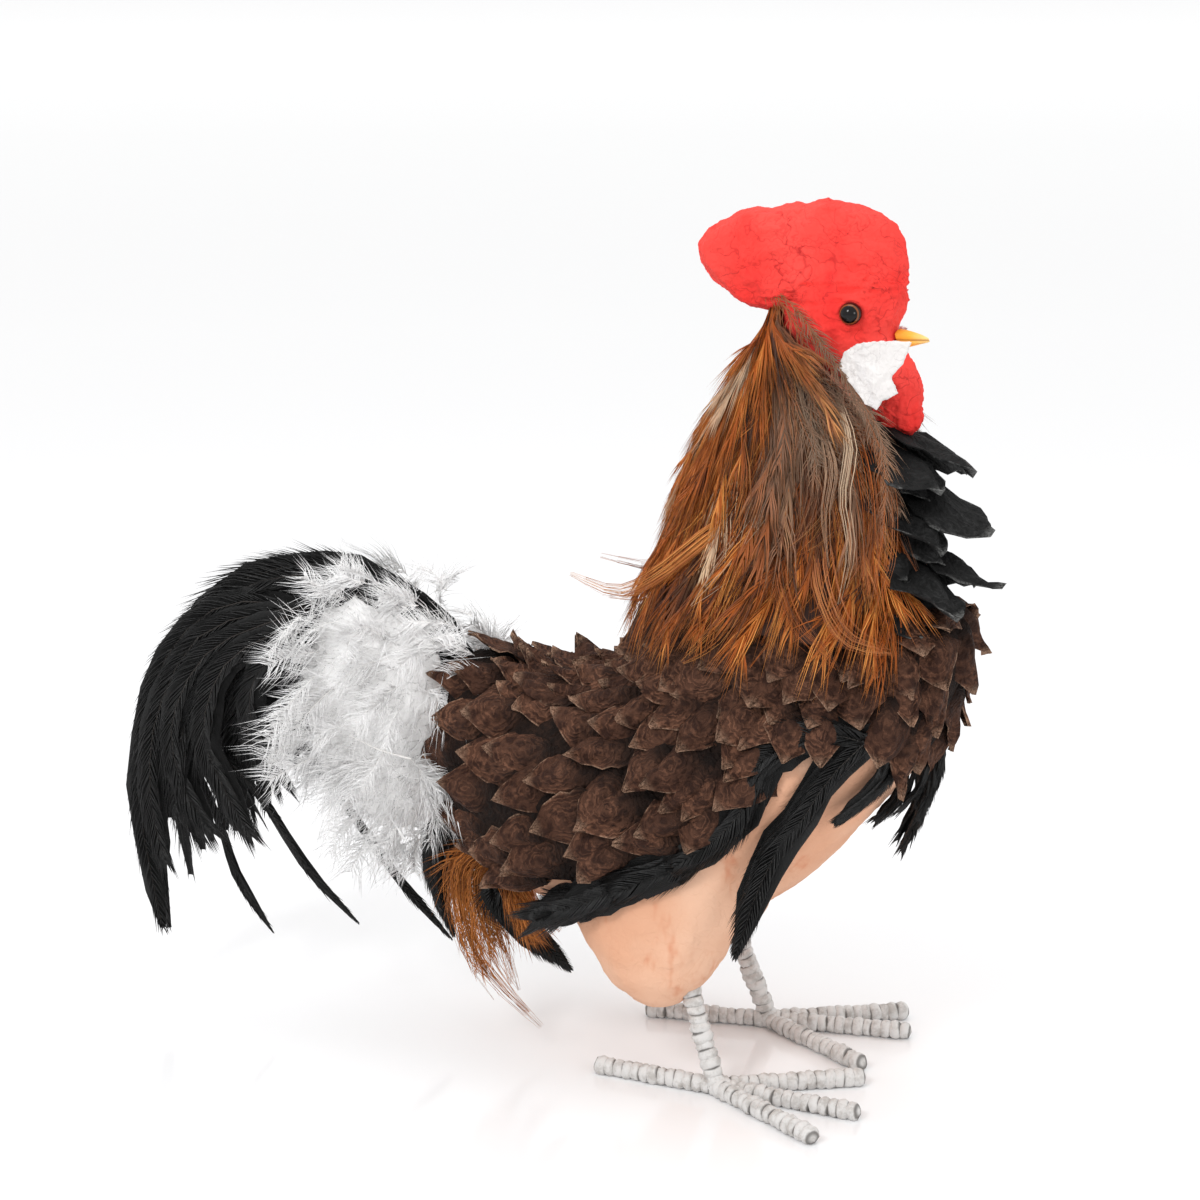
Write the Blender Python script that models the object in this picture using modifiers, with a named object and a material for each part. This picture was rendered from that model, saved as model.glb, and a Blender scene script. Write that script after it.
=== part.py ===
"""A standing rooster figurine: a foam body under paper leaves and real feathers, on wire legs.

The bird faces +X, its left side is +Y and it stands on the floor at Z = 0. The pose and the
outlines are shares of the bird's height, written in 446ths of it, and U turns them into metres.
Wire, feather and paper sizes are in metres.
"""

import math
import random

import bmesh
import bpy
from mathutils import Vector
from mathutils.bvhtree import BVHTree

# Height from the floor to the top of the comb, and the unit of the outlines
FIGURE_HEIGHT = 0.446
U = FIGURE_HEIGHT / 446.0

# Space between two pieces that touch
GAP = 0.0003

# Points of one piece closer than this are one point
MERGE = 0.000002

# A grown skin moves no further than this many gaps at a sharp edge
MITRE_LIMIT = 2.5

# Edges sharper than this stay sharp, in degrees
SMOOTH_ANGLE = 50.0

# Foam core: how finely it is carved, and the faces left on it
CARVING_STEP = 0.006
RUBBING_ROUNDS = 10
CORE_FACES = 680

# Legs: one wrapped wire for the shank and one for each toe
SHANK_RADIUS = 0.0050
TOE_RADIUS = 0.0047
HUB_RADIUS = 0.0085
HUB_HEIGHT = 0.0105
SOLE_CUT = 0.0006
STANCE = 0.048
FRONT_TOE = 0.0755
BACK_TOE = 0.065
WIRE_SIDES = 6
KNEE = (-15.5, 42.5, 53)
SOCKET = (-21.5, 41, 72)
TOE_ANGLES = {"far": 28.0, "middle": -6.0, "near": -35.0, "back": 174.0}

# Unevenness of the wrapping as shares of the radius, and the hub from the sole upwards
SHANK_KNOTS = (1.05, 0.98, 1.04, 0.97, 1.03, 0.98, 0.98)
TOE_KNOTS = ((0.0, 1.0), (0.34, 0.96), (0.68, 1.03), (0.96, 0.98), (1.0, 0.72))
HUB_PROFILE = ((0.0, 1.0), (0.55, 1.0), (0.85, 0.82), (1.0, 0.6))

# Glass eyes, paper and horn
EYE_RADIUS = 0.0055
LOBE_PAPER = 0.0022
BEAK_GROOVE = 0.86

# Coat of paper leaves over the body
COAT_ROWS = 8
COAT_COLUMNS = 26
COAT_BASE = 0.0062
COAT_LIFT = 0.0055
COAT_REACH = 0.36
COAT_INSIDE = 0.0044
COAT_CROWN = 0.0026

# A leaf lifts less where its row step is under this many times the lift
LIFT_ROOM = 3.0

# Cape of long neck feathers
HACKLE_ROWS = 8
HACKLE_COLUMNS = 13
HACKLE_BASE = 0.0045
HACKLE_LIFT = 0.0055
HACKLE_REACH = 0.55
HACKLE_INSIDE = 0.0010
HACKLE_CROWN = 0.0030

# Throat leaves, tail and flank feathers
THROAT_LEAF_WIDTH = 0.033
THROAT_LEAF_THICKNESS = 0.0060
PLUME_FEATHERS = 7
PLUME_WIDTH = 0.030
PLUME_THICKNESS = 0.0058
PLUME_SPREAD = 0.030
PLUME_POINTS = 7
SICKLE_WIDTH = 0.010
SICKLE_THICKNESS = 0.0030
FLANK_THICKNESS = 0.0040
VENT_THICKNESS = 0.0042
FLUFF_HALF_WIDTH = 0.042

# Body along X: x, lowest z, highest z, half width
TORSO = (
    (-160, 134, 196, 16),
    (-152, 110, 210, 32),
    (-130, 90, 205, 46),
    (-100, 77, 199, 56),
    (-60, 73, 206, 62),
    (-20, 73, 224, 64),
    (20, 88, 238, 64),
    (60, 132, 246, 57),
    (86, 162, 248, 43),
    (98, 182, 250, 32),
    (106, 203, 250, 21),
    (111, 222, 244, 9),
)

# Neck upwards: z, back x, front x, half width
NECK = (
    (182, -48, 82, 46),
    (214, -56, 90, 52),
    (240, -48, 88, 50),
    (275, -35, 84, 44),
    (310, -26, 77, 37),
    (345, -12, 62, 29),
    (372, 4, 50, 21),
    (386, 11, 36, 12),
)

# Thigh upwards: z, back x, front x, middle y, half width
THIGH = (
    (38.7, -38, -24, 42, 6),
    (44, -50, -15, 42, 14),
    (57, -64, -3, 41, 22),
    (79, -79, 8, 38, 27),
    (110, -88, 24, 34, 29),
    (140, -84, 32, 28, 26),
)

# Head and wattle upwards: z, back x, front x, half width
HEAD = (
    (333, 70, 82, 5),
    (338, 65, 86, 9),
    (347, 60, 87, 11),
    (355, 56, 86, 13),
    (363, 40, 85, 18),
    (372, 26, 78, 20),
    (380, 18, 73, 21),
    (388, 16, 75, 22),
    (398, 18, 78, 21),
    (409, 24, 77, 17),
    (418, 34, 74, 11),
)

# Outline of the comb, seen from the bird's right, clockwise from above the beak
COMB = (
    (75, 386), (78, 399), (79, 414), (75, 429), (68, 438), (58, 442), (47, 444), (37, 446),
    (26, 443), (18, 444), (8, 440), (-2, 441), (-14, 435), (-25, 427), (-28, 417), (-20, 404),
    (-6, 394), (9, 390), (26, 395), (50, 392),
)
COMB_MIDDLE = (28, 417)
COMB_HALF_WIDTH = 0.0155
COMB_SHARES = (1.0, 0.9, 0.62)
COMB_FULLNESS = 2.4

# Beak from the face to the tip: x, z, half height, half width
BEAK = (
    (68, 379.5, 5.6, 5.2),
    (74, 379.6, 5.2, 4.8),
    (79, 379.8, 4.0, 3.8),
    (84, 379.9, 2.6, 2.5),
    (88, 379.6, 1.2, 1.2),
)
BEAK_TIP = (89.3, 379.0)

EYE = (54.9, 21.0, 393.5)

# Outline of the folded ear lobe and the plane that it hangs in
LOBE = (
    (50, 368), (53, 375.5), (60.5, 380.6), (72.6, 382.6), (85.7, 381.8), (82.5, 372.1),
    (76.9, 365.2), (80.5, 357.7), (72.8, 353.5), (71, 348.6), (65, 352), (58.5, 360),
)
LOBE_OUT = 24.0
LOBE_CURL = 0.0045
LOBE_FOLD = 0.0063

# Front edge of the neck cape: z, angle from straight ahead in degrees, flare of the skirt
CAPE = (
    (389, 112, 0.0),
    (374, 74, 0.0),
    (356, 42, 1.0),
    (330, 28, 1.5),
    (300, 28, 2.0),
    (262, 30, 3.0),
    (232, 34, 7.0),
)
CAPE_BACK_RISE = 12.0

# Loops that the coat runs between, front to rear on one side: x, y, z
COAT_TOP = (
    (96, 0, 252), (80, 34, 248), (40, 54, 244), (0, 56, 243), (-36, 36, 246), (-52, 0, 250),
)
COAT_EDGE = (
    (98, 0, 168), (92, 22, 175), (78, 42, 185), (60, 54, 191), (44, 60, 188), (28, 63, 176),
    (12, 64, 156), (-8, 65, 137), (-30, 65, 119), (-60, 62, 104), (-91, 55, 92), (-122, 44, 86),
    (-144, 34, 100), (-154, 28, 130), (-156, 26, 162), (-152, 22, 192), (-148, 0, 212),
)
COAT_AXIS = ((-118, 0, 158), (62, 0, 200))

# Throat leaves: z of the tip, how far it stands out, half turn of the row, leaves in the row
THROAT_ROWS = ((316, 51, 20, 2), (287, 45, 28, 3), (258, 45, 27, 2))
THROAT_DROP = 27.0
THROAT_LEAF_PATH = ((0.0, 0.0), (0.35, 0.12), (0.72, 0.5), (1.0, 0.8))
THROAT_SAG = 7.0
THROAT_PAD_SKINS = (5.0, 1.6)
THROAT_PAD = ((341, 20), (312, 29), (280, 33), (250, 34))

# Tail: the outermost and the innermost feather, as curves of four control points (x, z)
PLUME_OUTER = ((-146, 200), (-215, 290), (-378, 254), (-329, 38))
PLUME_INNER = ((-148, 160), (-192, 206), (-256, 190), (-252, 118))
PLUME_LENGTHS = (1.0, 0.9, 0.97, 0.84, 0.93, 0.8, 0.96)
PLUME_ROOT = (12, 0, -3)
SICKLES = (
    ((-262, 172), (-258, 145), (-232, 112), (-199, 70), (-169, 40)),
    ((-300, 176), (-292, 146), (-266, 119), (-240, 82), (-210, 54)),
    ((-322, 152), (-312, 122), (-300, 93), (-290, 65), (-270, 36)),
)
SICKLE_SIDES = (16, -14, 4)

# Blocks that feathers are bound to: middle and reach along each axis
PLUME_BLOCK = ((-160, 0, 184), (16, 13, 32))
VENT_BLOCK = ((-129, 0, 103), (24, 27, 17))
TUFT_BLOCK = ((90, 0, 172), (9, 15, 7))

# White fluff around the root of the tail
FLUFF = (
    (-240, 248), (-217, 259), (-189, 255), (-166, 246), (-148, 232), (-143, 208), (-142, 180),
    (-146, 146), (-162, 108), (-192, 88), (-226, 113), (-252, 137), (-252, 171), (-256, 204),
)
FLUFF_MIDDLE = (-196, 176)
FLUFF_PASSAGE = ((-270, 128), (-130, 270))
FLUFF_PASSAGE_HALF_WIDTH = 0.0175
FLUFF_TUFT = 5.0
FLUFF_SHARES = (1.0, 0.84, 0.55, 0.25)
FLUFF_FULLNESS = 2.0

# Feathers under the tail: points of each from the rump to the tip, width
VENT = (
    (((-144, 8, 128), (-160, 10, 118), (-162, 11, 90), (-152, 10, 58)), 0.014),
    (((-138, -12, 112), (-152, -16, 100), (-141, -18, 52), (-102, -16, 14)), 0.017),
    (((-126, 0, 104), (-136, 0, 92), (-130, 0, 60), (-117, 2, 30)), 0.016),
    (((-112, -20, 98), (-124, -26, 88), (-108, -26, 68), (-87, -22, 46)), 0.014),
    (((-118, 22, 100), (-134, 26, 88), (-128, 26, 62), (-112, 22, 48)), 0.014),
)

# How far the flank feathers lie off the carved body, and a distance well outside it
FLANK_LIFT = 3.2
FLANK_OUTSIDE = 90.0

# Feathers of one flank: points on the body, how far the tip hangs away from it, width
FLANK = (
    (((-64, 98), (-76, 92), (-94, 84)), 2, 0.016),
    (((-30, 116), (-52, 102), (-78, 92)), 2, 0.017),
    (((8, 150), (-16, 124), (-48, 104)), 2, 0.017),
    (((30, 184), (14, 152), (-14, 126)), 2, 0.016),
    (((82, 190), (58, 196), (34, 186), (20, 166)), 2, 0.016),
    (((76, 196), (56, 178), (38, 148), (24, 116), (17, 86)), 7, 0.015),
    (((86, 190), (76, 172), (56, 154)), 4, 0.011),
)
BREAST_TUFT = (
    (((95, 0, 176), (95, -4, 164), (90, -6, 148)), 0.010),
    (((90, 8, 172), (91, 8, 150), (82, 6, 127)), 0.011),
    (((90, -8, 172), (87, -14, 158), (76, -14, 143)), 0.010),
)

# What lies under each piece, and so is cut out of it
UNDER = {
    "body_core": ("head_comb", "leg_right", "leg_left"),
    "eye_right": ("head_comb",),
    "eye_left": ("head_comb",),
    "beak": ("head_comb",),
    "neck_hackle": ("head_comb", "body_core"),
    "ear_lobe_right": ("head_comb", "beak", "neck_hackle"),
    "ear_lobe_left": ("head_comb", "beak", "neck_hackle"),
    "throat_leaves": ("body_core", "neck_hackle", "head_comb"),
    "body_leaves": ("body_core", "neck_hackle", "throat_leaves"),
    "tail_plume": ("body_core", "body_leaves"),
    "sickle_feather_1": ("tail_plume",),
    "sickle_feather_2": ("tail_plume",),
    "sickle_feather_3": ("tail_plume",),
    "flank_feathers_right": ("body_core", "body_leaves"),
    "flank_feathers_left": ("body_core", "body_leaves"),
    "breast_tuft": ("body_core", "body_leaves"),
    "tail_fluff": ("body_core", "body_leaves"),
    "vent_feathers": ("body_core", "body_leaves", "tail_fluff"),
}

FINISHES = {
    "flesh_paper": ((0.86, 0.50, 0.31), 0.85),
    "red_paper": ((0.80, 0.05, 0.04), 0.75),
    "horn": ((0.90, 0.45, 0.05), 0.40),
    "eye_glass": ((0.02, 0.01, 0.01), 0.08),
    "white_paper": ((0.85, 0.84, 0.82), 0.85),
    "hackle_feather": ((0.40, 0.15, 0.04), 0.60),
    "black_paper": ((0.02, 0.02, 0.022), 0.70),
    "brown_paper": ((0.085, 0.045, 0.03), 0.80),
    "black_feather": ((0.012, 0.012, 0.014), 0.40),
    "white_fluff": ((0.82, 0.81, 0.79), 0.90),
    "leg_wrap": ((0.45, 0.43, 0.40), 0.80),
}


def clear_scene():
    """Removes every object of the scene."""
    for obj in list(bpy.data.objects):
        bpy.data.objects.remove(obj, do_unlink=True)


def collection(name):
    """A collection in the scene."""
    made = bpy.data.collections.new(name)
    bpy.context.scene.collection.children.link(made)
    return made


def material(name):
    """A plain material of one finish."""
    colour, roughness = FINISHES[name]
    made = bpy.data.materials.new(name)
    made.use_nodes = True
    shader = made.node_tree.nodes["Principled BSDF"]
    shader.inputs["Base Color"].default_value = (*colour, 1.0)
    shader.inputs["Roughness"].default_value = roughness
    shader.inputs["Metallic"].default_value = 0.0
    return made


def place(x, y, z):
    """A point of the outlines, in metres."""
    return Vector((x, y, z)) * U


def smooth_rows(rows, count):
    """Reads a table as one smooth curve and returns count rows of it, ends included."""
    last = len(rows) - 1
    found = []
    for k in range(count):
        at = last * k / (count - 1)
        i = min(int(at), last - 1)
        t = at - i
        before, start, end, after = (rows[min(max(i + d, 0), last)] for d in (-1, 0, 1, 2))
        row = []
        for a, b, c, d in zip(before, start, end, after):
            bend = 2 * a - 5 * b + 4 * c - d
            turn = 3 * b - a - 3 * c + d
            row.append(0.5 * (2 * b + (c - a) * t + bend * t ** 2 + turn * t ** 3))
        found.append(tuple(row))
    return found


def row_at(rows, value):
    """The row of a table whose first column has this value, read along straight lines."""
    ordered = sorted(rows)
    value = min(max(value, ordered[0][0]), ordered[-1][0])
    for low, high in zip(ordered, ordered[1:]):
        if value <= high[0]:
            t = (value - low[0]) / (high[0] - low[0])
            return tuple(a + (b - a) * t for a, b in zip(low, high))
    return ordered[-1]


def oval(centre, first, second, sides):
    """A closed ring around centre that reaches first and second."""
    turns = (2 * math.pi * k / sides for k in range(sides))
    return [centre + first * math.cos(t) + second * math.sin(t) for t in turns]


def loft(bm, rings, apex=None):
    """Joins rings of equal count into a closed skin, ending in a cap or in the apex."""
    loops = [[bm.verts.new(p) for p in ring] for ring in rings]
    count = len(loops[0])
    for low, high in zip(loops, loops[1:]):
        for k in range(count):
            n = (k + 1) % count
            bm.faces.new((low[k], low[n], high[n], high[k]))
    bm.faces.new(list(reversed(loops[0])))
    if apex is None:
        bm.faces.new(loops[-1])
        return
    tip = bm.verts.new(apex)
    for k in range(count):
        bm.faces.new((loops[-1][k], loops[-1][(k + 1) % count], tip))


def largest_body(bm):
    """Deletes every loose body but the one with the most faces."""
    left = set(bm.faces)
    bodies = []
    while left:
        stack = [left.pop()]
        body = set(stack)
        while stack:
            near = {f for e in stack.pop().edges for f in e.link_faces} & left
            left -= near
            body |= near
            stack.extend(near)
        bodies.append(body)
    bodies.sort(key=len, reverse=True)
    spare = [f for body in bodies[1:] for f in body]
    bmesh.ops.delete(bm, geom=spare, context="FACES")


def object_from(bm, name):
    """Closes and triangulates a mesh, with its faces outwards, and makes it an object."""
    bmesh.ops.triangulate(bm, faces=bm.faces)
    bmesh.ops.recalc_face_normals(bm, faces=bm.faces)
    mesh = bpy.data.meshes.new(name)
    bm.to_mesh(mesh)
    bm.free()
    obj = bpy.data.objects.new(name, mesh)
    bpy.context.scene.collection.objects.link(obj)
    return obj


def drop(obj):
    """Removes an object that has been used."""
    bpy.data.objects.remove(obj, do_unlink=True)


def merged(piece, other, operation):
    """Applies a Boolean between two closed objects to the first of them."""
    modifier = piece.modifiers.new(operation.lower(), "BOOLEAN")
    modifier.object = other
    modifier.operation = operation
    modifier.solver = "EXACT"
    graph = bpy.context.evaluated_depsgraph_get()
    mesh = bpy.data.meshes.new_from_object(piece.evaluated_get(graph))
    piece.modifiers.clear()
    bm = bmesh.new()
    bm.from_mesh(mesh)
    bmesh.ops.remove_doubles(bm, verts=bm.verts, dist=MERGE)
    bmesh.ops.dissolve_degenerate(bm, edges=bm.edges, dist=MERGE)
    bmesh.ops.triangulate(bm, faces=bm.faces)
    largest_body(bm)
    bm.to_mesh(mesh)
    bm.free()
    piece.data = mesh


def union(pieces, name):
    """Joins overlapping closed objects into one body."""
    whole = pieces[0]
    for piece in pieces[1:]:
        merged(whole, piece, "UNION")
        drop(piece)
    whole.name = name
    return whole


def grown(piece, by):
    """A copy of a closed object whose skin stands out from it by a small distance."""
    bm = bmesh.new()
    bm.from_mesh(piece.data)
    moves = [v.normal * by * min(v.calc_shell_factor(), MITRE_LIMIT) for v in bm.verts]
    for vert, move in zip(bm.verts, moves):
        vert.co += move
    return object_from(bm, "cutter")


def finish(piece, name, finish_name, parts):
    """Names a piece, gives it its material and puts it in the figurine's collection."""
    piece.name = name
    piece.data.name = name
    piece.data.materials.clear()
    piece.data.materials.append(parts["materials"][finish_name])
    piece.data.shade_smooth()
    piece.data.set_sharp_from_angle(angle=math.radians(SMOOTH_ANGLE))
    for owner in list(piece.users_collection):
        owner.objects.unlink(piece)
    parts["collection"].objects.link(piece)
    return piece


def body_core():
    """Foam body, neck and thighs, carved as one."""
    bm = bmesh.new()
    rings = []
    for x, low, high, half in smooth_rows(TORSO, 13):
        middle = place(x, 0, (low + high) / 2)
        rings.append(oval(middle, place(0, half, 0), place(0, 0, (high - low) / 2), 16))
    loft(bm, rings)
    torso = object_from(bm, "torso")
    bm = bmesh.new()
    rings = []
    for z, back, front, half in smooth_rows(NECK, 8):
        middle = place((back + front) / 2, 0, z)
        rings.append(oval(middle, place((front - back) / 2, 0, 0), place(0, half, 0), 14))
    loft(bm, rings)
    pieces = [torso, object_from(bm, "neck")]
    for side in (-1, 1):
        bm = bmesh.new()
        rings = []
        for z, back, front, middle_y, half in smooth_rows(THIGH, 6):
            middle = place((back + front) / 2, side * middle_y, z)
            rings.append(oval(middle, place((front - back) / 2, 0, 0), place(0, half, 0), 12))
        loft(bm, rings)
        pieces.append(object_from(bm, "thigh"))
    whole = union(pieces, "body_core")
    remesh = whole.modifiers.new("even_skin", "REMESH")
    remesh.mode = "VOXEL"
    remesh.voxel_size = CARVING_STEP
    rub = whole.modifiers.new("rubbed_smooth", "SMOOTH")
    rub.factor = 0.5
    rub.iterations = RUBBING_ROUNDS
    apply_modifiers(whole)
    return whole


def apply_modifiers(piece):
    """Replaces a piece's mesh with what its modifiers make of it."""
    graph = bpy.context.evaluated_depsgraph_get()
    mesh = bpy.data.meshes.new_from_object(piece.evaluated_get(graph))
    piece.modifiers.clear()
    piece.data = mesh


def facetted(piece, faces):
    """A copy of a closed piece with about this many faces."""
    bm = bmesh.new()
    bm.from_mesh(piece.data)
    copy = object_from(bm, "facetted")
    fewer = copy.modifiers.new("fewer_faces", "DECIMATE")
    fewer.ratio = faces / len(copy.data.polygons)
    apply_modifiers(copy)
    return copy


def wire(points, radii):
    """A round wire along points in a plane that isn't vertical to its first stretch."""
    rings = []
    for k, point in enumerate(points):
        ahead = points[min(k + 1, len(points) - 1)] - points[max(k - 1, 0)]
        across = ahead.cross(Vector((0, 0, 1))).normalized()
        rise = across.cross(ahead).normalized()
        rings.append(oval(point, across * radii[k], rise * radii[k], WIRE_SIDES))
    bm = bmesh.new()
    loft(bm, rings)
    return object_from(bm, "wire")


def leg(side):
    """Shank and four toes of wrapped wire on a flat sole."""
    hub = Vector((0, side * STANCE, TOE_RADIUS - SOLE_CUT))
    pieces = []
    bm = bmesh.new()
    base = hub - Vector((0, 0, TOE_RADIUS))
    rings = []
    for share, width in HUB_PROFILE:
        radius = Vector((HUB_RADIUS * width, 0, 0)), Vector((0, HUB_RADIUS * width, 0))
        rings.append(oval(base + Vector((0, 0, HUB_HEIGHT * share)), *radius, 8))
    loft(bm, rings)
    pieces.append(object_from(bm, "hub"))
    knee, socket = (place(x, side * y, z) for x, y, z in (KNEE, SOCKET))
    stretches = len(SHANK_KNOTS) - 2
    route = [hub + (knee - hub) * k / stretches for k in range(stretches + 1)] + [socket]
    pieces.append(wire(route, [SHANK_RADIUS * k for k in SHANK_KNOTS]))
    for toe, angle in TOE_ANGLES.items():
        turn = math.radians(angle if side < 0 or toe in ("far", "near") else -angle)
        length = BACK_TOE if toe == "back" else FRONT_TOE
        way = Vector((math.cos(turn), math.sin(turn), 0))
        route = [hub + way * length * share for share, _ in TOE_KNOTS]
        pieces.append(wire(route, [TOE_RADIUS * knot for _, knot in TOE_KNOTS]))
    whole = union(pieces, "leg")
    bm = bmesh.new()
    bm.from_mesh(whole.data)
    floor = bmesh.ops.bisect_plane(
        bm, geom=bm.verts[:] + bm.edges[:] + bm.faces[:], plane_co=(0, 0, 0),
        plane_no=(0, 0, 1), clear_inner=True, dist=MERGE,
    )
    edges = [e for e in floor["geom_cut"] if isinstance(e, bmesh.types.BMEdge)]
    bmesh.ops.holes_fill(bm, edges=edges)
    drop(whole)
    return object_from(bm, "leg")


def head():
    """Head, comb and wattle, formed as one in crumpled red paper over foam."""
    bm = bmesh.new()
    rings = []
    for z, back, front, half in smooth_rows(HEAD, 12):
        middle = place((back + front) / 2, 0, z)
        rings.append(oval(middle, place((front - back) / 2, 0, 0), place(0, half, 0), 14))
    loft(bm, rings)
    face = object_from(bm, "face")
    shape = smooth_rows(COMB + COMB[:1], 29)[:-1]
    comb = cushion(shape, COMB_MIDDLE, COMB_HALF_WIDTH, COMB_SHARES, COMB_FULLNESS)
    return union([face, comb], "head")


def cushion(shape, middle, half_width, shares, fullness, tufts=None):
    """A pillow-like solid with an outline in the X-Z plane, full in the middle."""
    bm = bmesh.new()
    sides = [(s, 1) for s in reversed(shares[1:])] + [(1.0, 0)] + [(s, -1) for s in shares[1:]]
    rings = []
    for share, way in sides:
        rise = half_width * (1 - share ** fullness) ** (1 / fullness) * way
        ring = []
        for k, (x, z) in enumerate(shape):
            spread = share * (1 + (tufts[k] if tufts else 0.0))
            along = middle[0] + (x - middle[0]) * spread
            up = middle[1] + (z - middle[1]) * spread
            ring.append(place(along, 0, up) + Vector((0, rise, 0)))
        rings.append(ring)
    loft(bm, rings)
    return object_from(bm, "cushion")


def beak():
    """Beak with a shallow groove where its halves meet."""
    bm = bmesh.new()
    rings = []
    for x, z, tall, wide in smooth_rows(BEAK, 6):
        ring = oval(place(x, 0, z), place(0, wide, 0), place(0, 0, tall), 12)
        middle = place(x, 0, z)
        for k in (0, 6):
            ring[k] = middle + (ring[k] - middle) * BEAK_GROOVE
        rings.append(ring)
    loft(bm, rings, place(BEAK_TIP[0], 0, BEAK_TIP[1]))
    return object_from(bm, "beak")


def eye(side):
    """Glass bead set in the cheek."""
    bm = bmesh.new()
    bmesh.ops.create_uvsphere(bm, u_segments=10, v_segments=8, radius=EYE_RADIUS)
    bmesh.ops.translate(bm, verts=bm.verts, vec=place(EYE[0], side * EYE[1], EYE[2]))
    return object_from(bm, "eye")


def ear_lobe(side):
    """Folded white paper over the cheek, a little curled along its length."""
    bm = bmesh.new()
    xs = [x for x, z in LOBE]
    low, high = min(xs), max(xs)
    fold = sum(xs) / len(xs), sum(z for x, z in LOBE) / len(LOBE)
    sheets = []
    for face in (0, 1):
        ring = []
        for x, z in LOBE:
            along = (x - low) / (high - low)
            out = LOBE_OUT * U + LOBE_CURL * (along - along ** 2) * 4 + LOBE_PAPER * face
            ring.append(bm.verts.new(place(x, 0, z) + Vector((0, side * out, 0))))
        out = LOBE_OUT * U + LOBE_FOLD + LOBE_PAPER * face
        sheets.append((ring, bm.verts.new(place(fold[0], 0, fold[1]) + Vector((0, side * out, 0)))))
    count = len(LOBE)
    (inner, inner_middle), (outer, outer_middle) = sheets
    for k in range(count):
        n = (k + 1) % count
        bm.faces.new((inner[k], inner[n], inner_middle))
        bm.faces.new((outer[k], outer_middle, outer[n]))
        bm.faces.new((inner[k], outer[k], outer[n], inner[n]))
    return object_from(bm, "lobe")


def shingled(spot, rows, columns, closed, base, lift, reach, crown, inside, seed):
    """A thick skin of overlapping pointed leaves in staggered rows.

    spot takes two shares, downstream and across, and returns a point, the way out and the step
    to the next row. Each leaf is a kite between four points of the grid, and its tip stands off.
    """
    rng = random.Random(seed)
    bm = bmesh.new()
    outer, inner, tips = {}, {}, {}
    for i in range(rows + 1):
        offset = 0.5 * (i % 2)
        count = columns if closed or i % 2 else columns + 1
        for j in range(count):
            point, out, step = spot(i / rows, (j + offset) / columns)
            outer[i, j] = bm.verts.new(point + out * base)
            inner[i, j] = bm.verts.new(point + out * inside)
            if i > 1:
                fit = min(step.length / (LIFT_ROOM * lift), 1.0)
                rise = base + lift * fit * rng.uniform(0.75, 1.25)
                tip = point + out * rise + step * reach * rng.uniform(0.8, 1.2)
                tips[i, j] = (bm.verts.new(tip), out * crown * fit)
    for (i, j), (tip, bulge) in tips.items():
        odd = i % 2
        corners = [(i - 1, j - 1 + odd), (i - 2, j), (i - 1, j + odd), (i, j)]
        if closed:
            corners = [(row, column % columns) for row, column in corners]
        if not all(corner in outer for corner in corners):
            bm.verts.remove(tip)
            continue
        left, top, right, low = (outer[corner] for corner in corners)
        middle = (tip.co + left.co + top.co + right.co) / 4 + bulge
        middle = bm.verts.new(middle)
        for a, b in ((tip, right), (right, top), (top, left), (left, tip)):
            bm.faces.new((a, b, middle))
        bm.faces.new((tip, left, low))
        bm.faces.new((tip, low, right))
        under = [inner[corner] for corner in corners]
        bm.faces.new((under[0], under[1], under[2]))
        bm.faces.new((under[0], under[2], under[3]))
    below = {vert: inner[key] for key, vert in outer.items()}
    above = set(below)
    rims = [e for e in bm.edges if len(e.link_faces) == 1 and e.verts[0] in above]
    for edge in rims:
        a, b = edge.verts
        bm.faces.new((a, b, below[b], below[a]))
    loose = [v for v in bm.verts if not v.link_faces]
    bmesh.ops.delete(bm, geom=loose, context="VERTS")
    return object_from(bm, "skin")


def row_step(point_at, u, v, rows):
    """The way and distance from one row of leaves to the next."""
    share = 0.5 / rows
    low, high = max(u - share, 0.0), min(u + share, 1.0)
    return (point_at(high, v) - point_at(low, v)) / ((high - low) * rows)


def coat(core):
    """Brown paper leaves from the neck to the belly and the tail."""
    tree = BVHTree.FromObject(core, bpy.context.evaluated_depsgraph_get())
    start, end = (place(*p) for p in COAT_AXIS)
    top = smooth_rows(COAT_TOP, 41)
    edge = smooth_rows(COAT_EDGE, 41)

    def hit(u, v):
        v = v % 1.0
        half = abs(2 * v - 1)
        side = -1 if v < 0.5 else 1
        k = (1 - half) * 40
        low = min(int(k), 39)
        guide = []
        for rows in (top, edge):
            a, b = Vector(rows[low]), Vector(rows[low + 1])
            x, y, z = a.lerp(b, k - low)
            guide.append(place(x, side * y, z))
        target = guide[0].lerp(guide[1], u)
        share = (target - start).dot(end - start) / (end - start).length_squared
        origin = start.lerp(end, min(max(share, 0.0), 1.0))
        return tree.ray_cast(origin, target - origin)[0]

    def spot(u, v):
        step = row_step(hit, u, v, COAT_ROWS)
        across = hit(u, v - 0.5 / COAT_COLUMNS) - hit(u, v + 0.5 / COAT_COLUMNS)
        return hit(u, v), step.cross(across).normalized(), step

    return shingled(spot, COAT_ROWS, COAT_COLUMNS, True, COAT_BASE, COAT_LIFT, COAT_REACH,
                    COAT_CROWN, COAT_INSIDE, 11)


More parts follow.
